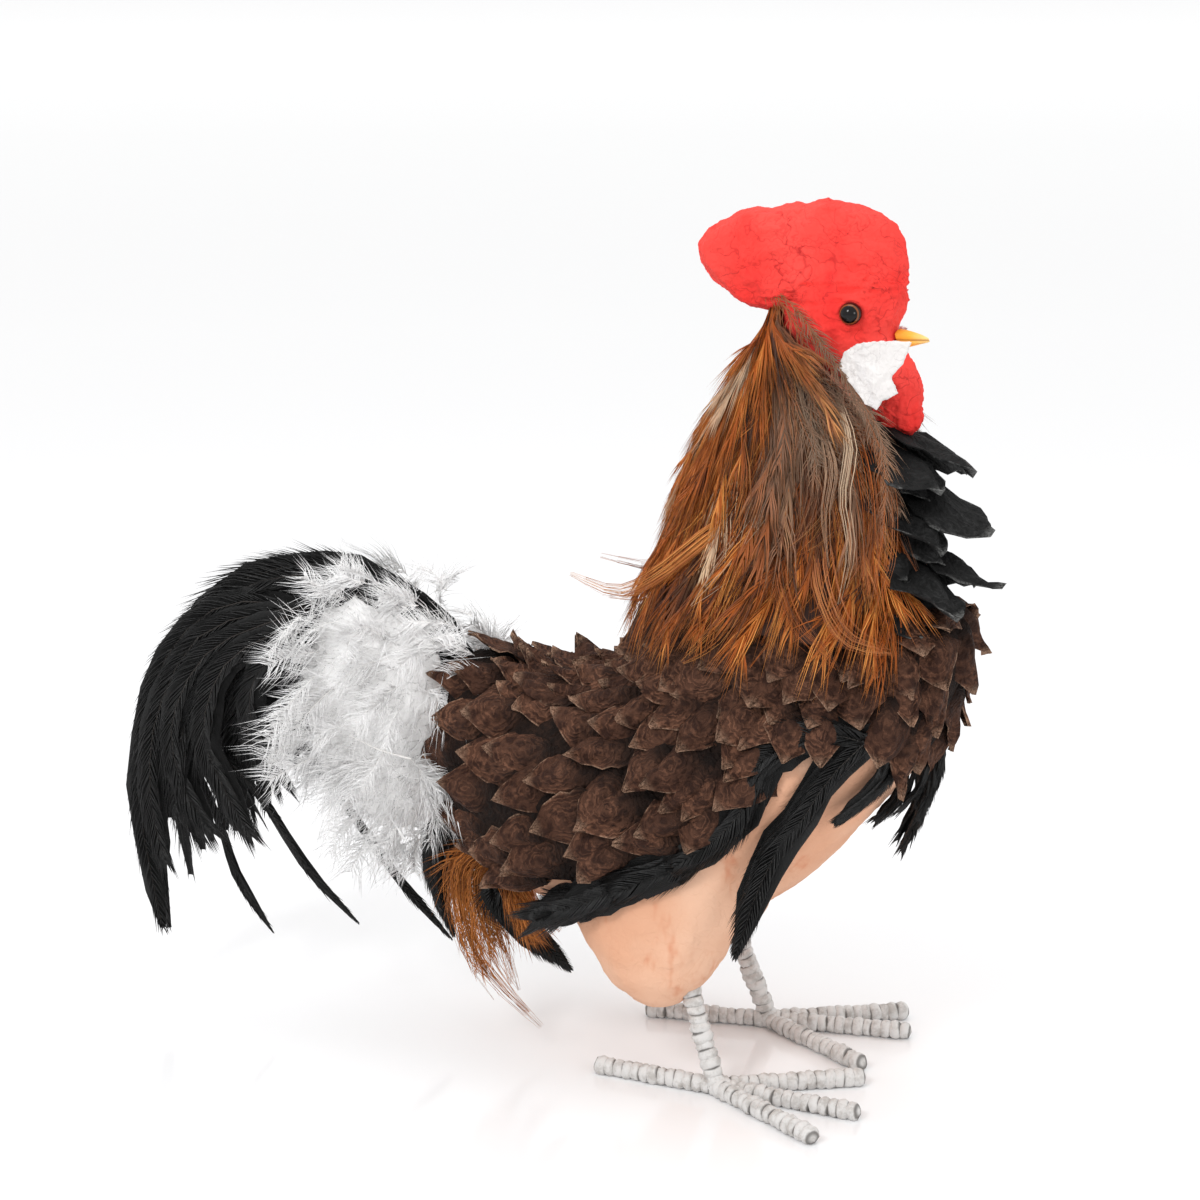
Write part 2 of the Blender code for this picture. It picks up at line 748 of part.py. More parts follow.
def hackle():
    """Cape of long feathers from the nape to the shoulders, open over the throat."""
    def hit(u, v):
        z, front, flare = row_at(CAPE, CAPE[0][0] + (CAPE[-1][0] - CAPE[0][0]) * u)
        turn = math.radians(-front - (360 - 2 * front) * v)
        z += CAPE_BACK_RISE * u * (1 - math.cos(turn)) / 2
        _, back, ahead, half = row_at(NECK, z)
        middle = place((back + ahead) / 2, 0, z)
        along = ((ahead - back) / 2 + flare) * U
        across = (half + flare) * U
        point = middle + Vector((along * math.cos(turn), across * math.sin(turn), 0))
        out = Vector((across * math.cos(turn), along * math.sin(turn), 0)).normalized()
        return point, out

    def spot(u, v):
        point, out = hit(u, v)
        step = row_step(lambda a, b: hit(a, b)[0], u, v, HACKLE_ROWS)
        down = step.normalized()
        return point, (out - down * out.dot(down)).normalized(), step

    return shingled(spot, HACKLE_ROWS, HACKLE_COLUMNS, False, HACKLE_BASE, HACKLE_LIFT,
                    HACKLE_REACH, HACKLE_CROWN, HACKLE_INSIDE, 5)


def blade(points, width, thickness, face, root=0.45, count=8):
    """A feather or leaf blade along points, wide across them and thin along face."""
    route = [Vector(row) for row in smooth_rows([tuple(p) for p in points], count + 1)]
    rings = []
    for k, point in enumerate(route[:-1]):
        share = k / count
        if share < 0.4:
            spread = root + (1 - root) * math.sin(share / 0.4 * math.pi / 2)
        else:
            spread = 1 - ((share - 0.4) / 0.6) ** 2.2 * 0.85
        ahead = (route[k + 1] - route[max(k - 1, 0)]).normalized()
        across = ahead.cross(face).normalized()
        out = across.cross(ahead).normalized()
        thin = thickness * (1 - 0.45 * share) / 2
        rings.append([
            point + across * width * spread / 2,
            point + out * thin,
            point - across * width * spread / 2,
            point - out * thin,
        ])
    bm = bmesh.new()
    loft(bm, rings, route[-1])
    return object_from(bm, "blade")


def throat():
    """Black paper leaves that stand out from the front of the neck."""
    bm = bmesh.new()
    rings = []
    for z, half_turn in THROAT_PAD:
        _, back, ahead, half = row_at(NECK, z)
        ring = []
        for out in THROAT_PAD_SKINS:
            angles = [half_turn * k / 2 for k in range(-2, 3)]
            for angle in angles if out == THROAT_PAD_SKINS[0] else reversed(angles):
                turn = math.radians(angle)
                along = (ahead - back) / 2 + out
                ring.append(place((back + ahead) / 2 + along * math.cos(turn),
                                  (half + out) * math.sin(turn), z))
        rings.append(ring)
    loft(bm, rings)
    pieces = [object_from(bm, "pad")]
    for z, out, half_turn, count in THROAT_ROWS:
        for k in range(count):
            turn = math.radians(half_turn * (2 * k / (count - 1) - 1))
            way = Vector((math.cos(turn), math.sin(turn), 0))
            sway = 1.0 - 0.25 * abs(math.sin(turn))
            _, back, front, half = row_at(NECK, z + THROAT_DROP)
            along = (front - back) / 2 + THROAT_PAD_SKINS[1] + 1
            top = z + THROAT_DROP * THROAT_LEAF_PATH[-1][1]
            root = place((back + front) / 2 + along * math.cos(turn), half * math.sin(turn), top)
            reach = way * out * sway * U
            path = []
            for ahead, fall in THROAT_LEAF_PATH:
                sag = THROAT_SAG if ahead and not k % 2 else 0.0
                path.append(root + reach * ahead - place(0, 0, THROAT_DROP * fall + sag))
            face = (way * 0.6 + Vector((0, 0, 1))).normalized()
            pieces.append(blade(path, THROAT_LEAF_WIDTH, THROAT_LEAF_THICKNESS, face, 0.7, 3))
    return union(pieces, "throat")


def bezier(controls, t):
    """A point of the curve of four control points."""
    a, b, c, d = (Vector(p) for p in controls)
    s = 1 - t
    return a * s ** 3 + b * 3 * s * s * t + c * 3 * s * t * t + d * t ** 3


def stump(middle, reach, roundness=2):
    """A small oval block that feathers are bound to."""
    bm = bmesh.new()
    bmesh.ops.create_icosphere(bm, subdivisions=roundness, radius=1.0)
    for vert in bm.verts:
        vert.co = place(*(m + r * c for m, r, c in zip(middle, reach, vert.co)))
    return object_from(bm, "stump")


def plume():
    """Main tail feathers, bound in one bunch that arches up and falls."""
    pieces = [stump(*PLUME_BLOCK)]
    for k in range(PLUME_FEATHERS):
        depth = k / (PLUME_FEATHERS - 1)
        side = 1 if k % 2 else -1
        spread = PLUME_SPREAD * (0.2 + 0.8 * math.sin(math.pi * (0.15 + 0.7 * depth))) * side
        curve = [Vector(a).lerp(Vector(b), depth) for a, b in zip(PLUME_OUTER, PLUME_INNER)]
        points = []
        for i in range(PLUME_POINTS):
            t = PLUME_LENGTHS[k] * i / (PLUME_POINTS - 1)
            x, z = bezier(curve, t)
            points.append(place(x, 0, z) + Vector((0, spread * (0.2 + 0.8 * t * t), 0)))
        points[0] += place(*PLUME_ROOT)
        pieces.append(blade(points, PLUME_WIDTH, PLUME_THICKNESS, Vector((0, 1, 0)), 0.8, 7))
    return union(pieces, "plume")


def sickle(index):
    """One long slim feather that hangs free of the plume."""
    points = [place(x, SICKLE_SIDES[index], z) for x, z in SICKLES[index]]
    return blade(points, SICKLE_WIDTH, SICKLE_THICKNESS, Vector((0, 1, 0)), 0.8, 8)


def fluff():
    """Soft white down around the root of the tail, on both sides of it."""
    rng = random.Random(3)
    shape = smooth_rows(FLUFF + FLUFF[:1], 25)[:-1]
    longest = max((Vector(p) - Vector(FLUFF_MIDDLE)).length for p in shape)
    tufts = [(-1) ** k * rng.uniform(0.4, 1.0) * FLUFF_TUFT / longest for k in range(len(shape))]
    piece = cushion(shape, FLUFF_MIDDLE, FLUFF_HALF_WIDTH, FLUFF_SHARES, FLUFF_FULLNESS, tufts)
    (back, low), (front, high) = FLUFF_PASSAGE
    bm = bmesh.new()
    bmesh.ops.create_cube(bm, size=2.0)
    for vert in bm.verts:
        x = back + (front - back) * (vert.co.x + 1) / 2
        z = low + (high - low) * (vert.co.z + 1) / 2
        vert.co = place(x, 0, z) + Vector((0, FLUFF_PASSAGE_HALF_WIDTH * vert.co.y, 0))
    passage = object_from(bm, "passage")
    merged(piece, passage, "DIFFERENCE")
    drop(passage)
    return piece


def vent():
    """Drooping feathers below the tail, on a small pad of down."""
    pieces = [stump(*VENT_BLOCK)]
    for points, width in VENT:
        route = [place(*p) for p in points]
        pieces.append(blade(route, width, VENT_THICKNESS, Vector((0.25, 1, 0)), 0.7, 7))
    return union(pieces, "vent")


def flank(side, core):
    """Black feathers along the lower edge of the coat on one side."""
    tree = BVHTree.FromObject(core, bpy.context.evaluated_depsgraph_get())
    pieces = []
    for points, hang, width in FLANK:
        count = len(points)
        route = []
        for k, (x, z) in enumerate(points):
            start = place(x, side * FLANK_OUTSIDE, z)
            point, normal, *_ = tree.ray_cast(start, Vector((0, -side, 0)))
            if point is None:
                point, normal, *_ = tree.find_nearest(start)
            lift = FLANK_LIFT + hang * (k / (count - 1)) ** 1.5
            route.append(point + normal * lift * U)
        face = Vector((0, side, -0.35))
        pieces.append(blade(route, width, FLANK_THICKNESS, face, 0.75, 3 if count < 4 else 5))
    return union(pieces, "flank")


def breast_tuft():
    """Short ragged feathers below the breast."""
    pieces = [stump(*TUFT_BLOCK, 1)]
    for points, width in BREAST_TUFT:
        route = [place(*p) for p in points]
        pieces.append(blade(route, width, VENT_THICKNESS, Vector((0.3, 1, 0)), 0.8, 4))
    return union(pieces, "breast_tuft")


def centre_on_floor(objects):
    """Moves the pieces together so that the figurine's box stands centred on the origin."""
    points = [obj.matrix_world @ v.co for obj in objects for v in obj.data.vertices]
    low = Vector([min(p[i] for p in points) for i in range(3)])
    high = Vector([max(p[i] for p in points) for i in range(3)])
    shift = Vector(((low.x + high.x) / 2, (low.y + high.y) / 2, low.z))
    for obj in objects:
        for vert in obj.data.vertices:
            vert.co -= shift


def main():
    """Builds each piece whole, then makes room in it for those that lie under it."""
    clear_scene()
    parts = {
        "collection": collection("rooster_figurine"),
        "materials": {name: material(name) for name in FINISHES},
    }
    carved = body_core()
    whole = {
        "leg_right": (leg(-1), "leg_wrap"),
        "leg_left": (leg(1), "leg_wrap"),
        "head_comb": (head(), "red_paper"),
        "body_core": (facetted(carved, CORE_FACES), "flesh_paper"),
        "eye_right": (eye(-1), "eye_glass"),
        "eye_left": (eye(1), "eye_glass"),
        "beak": (beak(), "horn"),
        "neck_hackle": (hackle(), "hackle_feather"),
        "ear_lobe_right": (ear_lobe(-1), "white_paper"),
        "ear_lobe_left": (ear_lobe(1), "white_paper"),
        "throat_leaves": (throat(), "black_paper"),
        "body_leaves": (coat(carved), "brown_paper"),
        "tail_plume": (plume(), "black_feather"),
        "flank_feathers_right": (flank(-1, carved), "black_feather"),
        "flank_feathers_left": (flank(1, carved), "black_feather"),
        "breast_tuft": (breast_tuft(), "black_feather"),
        "vent_feathers": (vent(), "hackle_feather"),
    }
    for k in range(len(SICKLES)):
        whole[f"sickle_feather_{k + 1}"] = (sickle(k), "black_feather")
    whole["tail_fluff"] = (fluff(), "white_fluff")
    drop(carved)
    rooms = {name: grown(piece, GAP) for name, (piece, _) in whole.items()}
    for name, under in UNDER.items():
        for other in under:
            merged(whole[name][0], rooms[other], "DIFFERENCE")
    for cutter in rooms.values():
        drop(cutter)
    for name, (piece, finish_name) in whole.items():
        finish(piece, name, finish_name, parts)
    centre_on_floor(list(parts["collection"].objects))


main()
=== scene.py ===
"""Looks of a craft rooster: crepe paper, real feathers, down, horn and glass over its solids.

The bird is drawn in millimetres in its own axes, +X towards the beak, +Y its left side and the
floor at Z = 0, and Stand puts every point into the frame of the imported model.
"""

import sys
import logging
import math
from dataclasses import dataclass, field
from enum import Enum
from typing import Any, Callable, Sequence

import bmesh
import bpy
import numpy as np
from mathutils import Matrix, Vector, noise
from mathutils.bvhtree import BVHTree


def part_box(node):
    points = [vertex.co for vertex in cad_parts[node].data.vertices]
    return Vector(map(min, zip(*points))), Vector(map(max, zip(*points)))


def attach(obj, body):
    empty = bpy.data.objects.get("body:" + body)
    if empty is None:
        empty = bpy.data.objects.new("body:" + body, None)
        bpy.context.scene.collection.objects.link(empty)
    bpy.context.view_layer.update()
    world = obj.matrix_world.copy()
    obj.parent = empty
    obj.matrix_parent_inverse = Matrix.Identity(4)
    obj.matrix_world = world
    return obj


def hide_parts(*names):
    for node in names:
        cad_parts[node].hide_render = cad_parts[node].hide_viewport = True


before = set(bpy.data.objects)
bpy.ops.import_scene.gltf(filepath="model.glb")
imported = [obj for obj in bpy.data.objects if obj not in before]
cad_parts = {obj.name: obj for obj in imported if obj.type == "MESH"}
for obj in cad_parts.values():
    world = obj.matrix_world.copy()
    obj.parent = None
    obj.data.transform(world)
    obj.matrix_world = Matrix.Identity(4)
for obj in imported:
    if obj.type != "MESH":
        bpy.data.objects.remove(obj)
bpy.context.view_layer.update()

MM = 0.001
FOLD_SEED = 4
FOLD_ANGLE = 50.0
LOG = logging.getLogger("rooster")

Array = np.ndarray
Rng = np.random.Generator
Mesh = bpy.types.Mesh
Material = bpy.types.Material
Colour = tuple[float, float, float, float]
Row = tuple[float, ...]
Masks = Callable[[Array, Array], dict[str, Any]]


def word(side: int) -> str:
    """The name of a side, -1 or 1."""
    return "right" if side < 0 else "left"


def dye(red: int, green: int, blue: int) -> Colour:
    """Turns a screen colour of 0 to 255 into the linear colour that a shader takes."""
    channels = [c / 255 for c in (red, green, blue)]
    linear = [c / 12.92 if c <= 0.04045 else ((c + 0.055) / 1.055) ** 2.4 for c in channels]
    return (linear[0], linear[1], linear[2], 1.0)


def unit(vectors: Array) -> Array:
    """Scales vectors to a length of one."""
    return vectors / np.maximum(np.linalg.norm(vectors, axis=-1, keepdims=True), 1e-9)


def through(points: Sequence[Sequence[float]], count: int) -> Array:
    """Draws a smooth curve through points.

    Args:
        points: The points in order, of any dimension.
        count: How many points to return, evenly spaced along the points' order.

    Returns:
        An array of the curve's points, ends included.
    """
    table = np.asarray(points, float)
    last = len(table) - 1
    at = np.linspace(0, last, count)
    start = np.minimum(at.astype(int), last - 1)
    t = (at - start)[:, None]
    a = table[np.maximum(start - 1, 0)]
    b = table[start]
    c = table[start + 1]
    d = table[np.minimum(start + 2, last)]
    curve = 2 * b + (c - a) * t + (2 * a - 5 * b + 4 * c - d) * t**2
    return 0.5 * (curve + (3 * b - a - 3 * c + d) * t**3)


def flat_route(points: Sequence[Sequence[float]], y: float) -> Array:
    """A curve of 12 points through points of the X-Z plane, laid at a distance across."""
    flat = through(points, 12)
    return np.stack([flat[:, 0], np.full(12, float(y)), flat[:, 1]], 1)


def read_row(table: Sequence[Row], value: float) -> Array:
    """Reads a table at a value of its first column, along straight lines."""
    rows = np.array(sorted(table), float)
    return np.array([np.interp(value, rows[:, 0], rows[:, k]) for k in range(rows.shape[1])])


class Stand:
    """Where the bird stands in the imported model's frame."""

    EYE_MIDDLE_X = 54.9
    EYE_OUTER_Y = -26.5

    def __init__(self) -> None:
        """Reads the place of the right eye."""
        low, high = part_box("eye_right")
        x = (low[0] + high[0]) / 2 - self.EYE_MIDDLE_X * MM
        self.shift = np.array((x, low[1] - self.EYE_OUTER_Y * MM, 0.0))

    def out(self, points: Array) -> Array:
        """Turns the bird's millimetres into the frame's metres."""
        return np.asarray(points, float) * MM + self.shift

    def back(self, points: Array) -> Array:
        """Turns the frame's metres into the bird's millimetres."""
        return (np.asarray(points, float) - self.shift) / MM


STAND = Stand()


class Value:
    """A socket of a shader that arithmetic can be written with."""

    def __init__(self, paint: "Nodes", socket: Any) -> None:
        """Wraps one output socket."""
        self.paint = paint
        self.socket = socket

    def _math(self, operation: str, *terms: Any) -> "Value":
        """Adds one Math node over values and numbers."""
        return self.paint.take("ShaderNodeMath", {"operation": operation}, dict(enumerate(terms)))

    def __add__(self, other: Any) -> "Value":
        """Adds."""
        return self._math("ADD", self, other)

    __radd__ = __add__

    def __sub__(self, other: Any) -> "Value":
        """Subtracts."""
        return self._math("SUBTRACT", self, other)

    def __rsub__(self, other: Any) -> "Value":
        """Subtracts from a number."""
        return self._math("SUBTRACT", other, self)

    def __mul__(self, other: Any) -> "Value":
        """Multiplies."""
        return self._math("MULTIPLY", self, other)

    __rmul__ = __mul__

    def __truediv__(self, other: Any) -> "Value":
        """Divides."""
        return self._math("DIVIDE", self, other)

    def sine(self) -> "Value":
        """The sine of the value."""
        return self._math("SINE", self)

    def size(self) -> "Value":
        """The value without its sign."""
        return self._math("ABSOLUTE", self)

    def step(self, low: float, high: float) -> "Value":
        """Rises smoothly from 0 at low to 1 at high."""
        sockets = {0: self, 1: low, 2: high, 3: 0.0, 4: 1.0}
        return self.paint.take("ShaderNodeMapRange", {"interpolation_type": "SMOOTHSTEP"}, sockets)


class Nodes:
    """A node tree that is written as Python calls."""

    tree: bpy.types.NodeTree

    def node(self, kind: str, settings: dict[str, Any] | None = None,
             sockets: dict[Any, Any] | None = None) -> Any:
        """Adds one node.

        Args:
            kind: The node's type.
            settings: Its properties; "stops" holds the stops of a ramp.
            sockets: Numbers, colours or links for its inputs, by name or by place.

        Returns:
            The node.
        """
        made = self.tree.nodes.new(kind)
        for name, setting in (settings or {}).items():
            if name == "stops":
                elements = made.color_ramp.elements
                while len(elements) < len(setting):
                    elements.new(0.5)
                for element, (place, colour) in zip(elements, setting):
                    element.position = place
                    element.color = colour
            else:
                setattr(made, name, setting)
        for name, value in (sockets or {}).items():
            if isinstance(value, Value):
                self.tree.links.new(value.socket, made.inputs[name])
            elif isinstance(value, bpy.types.NodeSocket):
                self.tree.links.new(value, made.inputs[name])
            else:
                made.inputs[name].default_value = value
        return made

    def take(self, kind: str, settings: dict[str, Any] | None = None,
             sockets: dict[Any, Any] | None = None, output: Any = 0) -> Value:
        """Adds one node, as node() does, and gives one of its outputs as a value."""
        return Value(self, self.node(kind, settings, sockets).outputs[output])

    def vector(self, operation: str, first: Any, second: Any) -> Value:
        """Adds one Vector Math node over two vectors, or over a vector and a scale."""
        name = "Scale" if operation == "SCALE" else 1
        return self.take("ShaderNodeVectorMath", {"operation": operation}, {0: first, name: second})


class Paint(Nodes):
    """The shader of one finish."""

    def __init__(self, name: str) -> None:
        """Starts an empty material."""
        self.material = bpy.data.materials.new(name)
        self.material.use_nodes = True
        self.tree = self.material.node_tree
        self.tree.nodes.clear()

    def place(self, scale: Sequence[float] = (1.0, 1.0, 1.0)) -> Value:
        """The point on the object, stretched by a scale along each axis."""
        return self.vector("MULTIPLY", self.take("ShaderNodeTexCoord", output="Object"), tuple(scale))

    def shifted(self, point: Value, by: Value, amount: float) -> Value:
        """A point moved by a colour, as much as amount."""
        return self.vector("ADD", point, self.vector("SCALE", by, amount))

    def attribute(self, name: str) -> Value:
        """A value that the mesh carries on its points."""
        return self.take("ShaderNodeAttribute", {"attribute_name": name}, output="Fac")

    def attributes(self, names: str) -> list[Value]:
        """Several such values, their names divided by spaces."""
        return [self.attribute(name) for name in names.split()]

    def noise(self, size: float, detail: float = 4.0, roughness: float = 0.5, at: Value | None = None,
              kind: str = "FBM", output: int = 0) -> Value:
        """Uneven patches.

        Args:
            size: About how large one patch is, in the unit of the coordinates.
            detail: Octaves of finer patches.
            roughness: How strong the finer ones are.
            at: The point to read at, or None for the object's own.
            kind: The kind of noise.
            output: 0 for the value, 1 for the colour.

        Returns:
            The noise.
        """
        point = at or self.place()
        sockets = {"Vector": point, "Scale": 1.0 / size, "Detail": detail, "Roughness": roughness}
        return self.take("ShaderNodeTexNoise", {"noise_type": kind}, sockets, output)

    def slopes(self, size: float, at: Value, detail: float = 3.0) -> Value:
        """Folds about as large as size: 0 along their creases and rising to both sides."""
        return (self.noise(size, detail, 0.55, at) - 0.5).size()

    def ramp(self, factor: Value, stops: Sequence[tuple[float, Colour]]) -> Value:
        """Colours along a factor."""
        return self.take("ShaderNodeValToRGB", {"stops": stops}, {0: factor})

    def mix(self, factor: Any, first: Any, second: Any) -> Value:
        """Mixes two colours."""
        settings = {"data_type": "RGBA", "clamp_factor": True}
        return self.take("ShaderNodeMix", settings, {0: factor, 6: first, 7: second}, 2)

    def bump(self, height: Value, depth: float) -> Value:
        """A bump of a depth in metres."""
        return self.take("ShaderNodeBump", None, {"Height": height, "Distance": depth, "Strength": 1.0})

    def done(self, colour: Any, roughness: Any, normal: Value | None, specular: float) -> Material:
        """Ends the shader.

        Args:
            colour: Base colour or a link.
            roughness: Roughness or a link.
            normal: The bumped normal, or None for a smooth surface.
            specular: How strongly the surface mirrors at right angles.

        Returns:
            The material.
        """
        sockets = {"Base Color": colour, "Roughness": roughness, "Specular IOR Level": specular}
        if normal is not None:
            sockets["Normal"] = normal
        surface = self.node("ShaderNodeBsdfPrincipled", None, sockets)
        self.node("ShaderNodeOutputMaterial", None, {0: surface.outputs[0]})
        return self.material


@dataclass(frozen=True)
class CrumpledPaper:
    """Crepe paper pressed over a form, with painted shade darkening the creases of its folds and wrinkles.

    Sizes are in metres.
    """

    name: str
    face: Colour
    # Colour of the painted shade in the creases.
    crease_shade: Colour
    pale: Colour
    stain: Colour
    stained: float
    # How strongly the painted shade of the creases is laid on.
    crease_shading: float
    fold: float
    wrinkle: float
    depth: float
    roughness: float = 0.82

    def material(self) -> Material:
        """Builds the paper's material."""
        paint = Paint(self.name)
        point = paint.place()
        sway = paint.noise(self.fold, 3, 0.6, point, output=1)
        folded = paint.shifted(point, sway, self.fold * 0.9)
        wide = paint.slopes(self.fold, folded, 1.0)
        small = paint.slopes(self.wrinkle, folded, 1.5)
        grain = paint.noise(self.wrinkle * 0.4, 3, 0.6, point)
        # Thin lines along the fold and wrinkle creases, where the painted shade goes.
        creases = 1.0 - wide.step(0.0, 0.014)
        lines = 1.0 - small.step(0.0, 0.04)
        patches = paint.noise(self.fold * 3, 3, 0.5, point)
        lines = lines * paint.noise(self.fold * 1.3, 2, 0.5, point).step(0.5, 0.62)
        strokes = paint.noise(self.fold * 1.6, 4, 0.7, paint.place((1.0, 1.0, 0.4)))
        colour = paint.mix(patches.step(0.35, 0.65), self.face, self.pale)
        colour = paint.mix(strokes.step(0.56, 0.72) * self.stained, colour, self.stain)
        # Painted shade: the creases and wrinkle lines take the darker colour.
        colour = paint.mix(creases * self.crease_shading + lines * (self.crease_shading * 0.8), colour, self.crease_shade)
        height = wide.step(0.0, 0.3) * 1.4 + small.step(0.0, 0.25) * 0.5 + grain * 0.2
        return paint.done(colour, self.roughness, paint.bump(height, self.depth), 0.25)


@dataclass(frozen=True)
class LeafPaper:
    """Crepe paper cut as leaves, ringed like wood grain by its ripples, with painted highlight on the
    ripple crests, rims and tips and painted shade towards each leaf's root.
    """

    name: str
    # Painted shade that darkens each leaf towards its root, under the leaf that overlaps it.
    gap: Colour
    face: Colour
    # Lighter colour painted on the ripple crests and fold lines as highlight.
    crest: Colour
    # Light colour painted along the leaf rims and over the tips as highlight.
    rim: Colour
    ripple: float
    depth: float
    roughness: float = 0.85

    def material(self) -> Material:
        """Builds the material of the leaves."""
        paint = Paint(self.name)
        tone, along, edge, ring = paint.attributes("tone along edge ring")
        wander = paint.noise(0.009, 3, 0.6)
        kinks = paint.noise(0.0026, 3, 0.6)
        wave = ((ring / self.ripple + wander * 4.2 + kinks * 0.8 + tone * 9.0) * 6.283).sine() * 0.5 + 0.5
        fibres = paint.noise(0.0009, 4, 0.7)
        blotch = paint.noise(0.011, 3, 0.6)
        crush = paint.slopes(0.007, paint.place(), 1.5).step(0.0, 0.16)
        # Painted highlight: the ripple crests and fold lines take the lighter crest colour; the pale
        # blotches are the paper's own tone.
        lines = wave.step(0.4, 1.0) * fibres.step(0.22, 0.6) * blotch.step(0.36, 0.6)
        pale = lines * 0.62 + (1.0 - crush) * 0.35 + blotch.step(0.5, 0.8) * 0.3
        colour = paint.mix(pale, self.face, self.crest)
        colour = paint.mix(tone * 0.5, colour, self.face)
        # Painted shade: the leaf darkens towards its root, where the leaf above lies over it.
        colour = paint.mix((1.0 - along.step(0.15, 0.72)) * 0.9, colour, self.gap)
        # Painted highlight: patches along the side rims and the whole tip take the rim colour.
        patchy = blotch.step(0.46, 0.6)
        rim_highlight = edge.step(0.9, 1.0) * along.step(0.3, 0.7) * patchy * 0.6 + along.step(0.86, 1.0) * 0.6
        colour = paint.mix(rim_highlight * fibres.step(0.3, 0.62), colour, self.rim)
        height = wave * 0.5 + fibres * 0.5 + blotch * 0.8 + crush * 0.9
        return paint.done(colour, self.roughness, paint.bump(height, self.depth), 0.2)


@dataclass(frozen=True)
class HackleDye:
    """Colours of the neck feathers, from the grey down to the orange ends."""

    name: str
    down: Colour = dye(146, 122, 102)
    dark: Colour = dye(54, 34, 26)
    deep: Colour = dye(70, 32, 12)
    orange: Colour = dye(174, 90, 30)
    light: Colour = dye(226, 152, 76)
    cream: Colour = dye(224, 202, 172)
    roughness: float = 0.5

    def material(self) -> Material:
        """Builds the feather material."""
        paint = Paint(self.name)
        tone, along, edge, strand = paint.attributes("tone along edge strand")
        patch = paint.noise(0.018, 3, 0.6)
        shade = tone * 0.5 + strand * 0.5 + (patch - 0.5) * 0.7
        stops = [(0.1, self.deep), (0.46, self.orange), (0.64, self.orange), (0.95, self.light)]
        colour = paint.ramp(shade, stops)
        colour = paint.mix(edge.step(0.5, 1.0) * 0.3, colour, self.light)
        for name in ("dark", "cream", "down"):
            colour = paint.mix(paint.attribute(name), colour, getattr(self, name))
        colour = paint.mix((1.0 - along.step(0.0, 0.25)) * 0.35, colour, self.dark)
        return paint.done(colour, self.roughness, None, 0.3)


@dataclass(frozen=True)
class FeatherDye:
    """Colours of a plainly coloured feather."""

    name: str
    deep: Colour
    face: Colour
    light: Colour
    shaft: Colour
    roughness: float
    gloss: float

    def material(self) -> Material:
        """Builds the feather material."""
        paint = Paint(self.name)
        tone, strand, rings = paint.attributes("tone strand ring")
        patch = paint.noise(0.02, 3, 0.6)
        line = (rings * 4.2 + paint.noise(0.004, 3, 0.6) * 9.0).sine()
        shade = strand * 0.5 + tone * 0.3 + patch * 0.35 + line * 0.06
        colour = paint.ramp(shade, [(0.15, self.deep), (0.6, self.face), (1.0, self.light)])
        colour = paint.mix(paint.attribute("shaft") * 0.8, colour, self.shaft)
        return paint.done(colour, self.roughness, paint.bump(line, 0.00025), self.gloss)


@dataclass(frozen=True)
class Horn:
    """Painted horn of the beak, paler at the tip."""

    name: str
    root: Colour = dye(226, 146, 34)
    face: Colour = dye(245, 178, 52)
    tip: Colour = dye(250, 214, 140)
    seam: Colour = dye(150, 84, 20)

    def material(self) -> Material:
        """Builds the beak's material."""
        paint = Paint(self.name)
        along = paint.attribute("along")
        streak = paint.noise(0.001, 4, 0.6, paint.place((0.25, 1.0, 1.0)))
        stops = [(0.0, self.root), (0.45, self.face), (1.0, self.tip)]
        colour = paint.ramp(along + (streak - 0.5) * 0.3, stops)
        colour = paint.mix(paint.attribute("seam") * 0.8, colour, self.seam)
        return paint.done(colour, 0.42 + streak * 0.15, paint.bump(streak, 0.0002), 0.45)


@dataclass(frozen=True)
class EyeGlass:
    """Glass bead: a black pupil in a thin brown ring."""

    name: str
    pupil: Colour = dye(8, 6, 6)
    ring: Colour = dye(126, 72, 38)
    rim: Colour = dye(22, 12, 10)

    def material(self) -> Material:
        """Builds the eye's material."""
        paint = Paint(self.name)
        along = paint.attribute("along")
        speck = paint.noise(0.0006, 3, 0.6)
        stops = [(0.0, self.pupil), (0.54, self.pupil), (0.58, self.ring), (0.66, self.ring),
                 (0.72, self.rim)]
        colour = paint.ramp(along + (speck - 0.5) * 0.04, stops)
        return paint.done(colour, 0.05 + speck * 0.02, None, 0.27)


@dataclass(frozen=True)
class LegPaper:
    """Light grey paper twisted round the leg wires, with painted shade in the dips between the turns."""

    name: str
    face: Colour = dye(214, 212, 210)
    # Colour of the painted shade in the dips between the turns.
    hollow_shade: Colour = dye(112, 109, 106)
    stain: Colour = dye(182, 178, 174)

    def material(self) -> Material:
        """Builds the material of the wrapping."""
        paint = Paint(self.name)
        crest = paint.attribute("crest")
        blotch = paint.noise(0.006, 4, 0.65)
        fibre = paint.noise(0.0009, 3, 0.7, kind="RIDGED_MULTIFRACTAL")
        colour = paint.mix(blotch.step(0.42, 0.68), self.face, self.stain)
        # Painted shade: each ring darkens towards its narrow ends, in the dips between turns.
        colour = paint.mix((1.0 - crest.step(0.05, 0.6)) * 0.9, colour, self.hollow_shade)
        height = fibre * 0.5 + blotch * 0.6
        return paint.done(colour, 0.85, paint.bump(height, 0.0005), 0.2)


@dataclass(frozen=True)
class StudioFloor:
    """Pale, faintly glossy floor."""

    name: str
    face: Colour = dye(245, 245, 246)

    def material(self) -> Material:
        """Builds the floor's material."""
        paint = Paint(self.name)
        cloud = paint.noise(0.8, 2, 0.5)
        colour = paint.mix(cloud * 0.05, self.face, dye(234, 234, 236))
        return paint.done(colour, 0.12, None, 0.5)


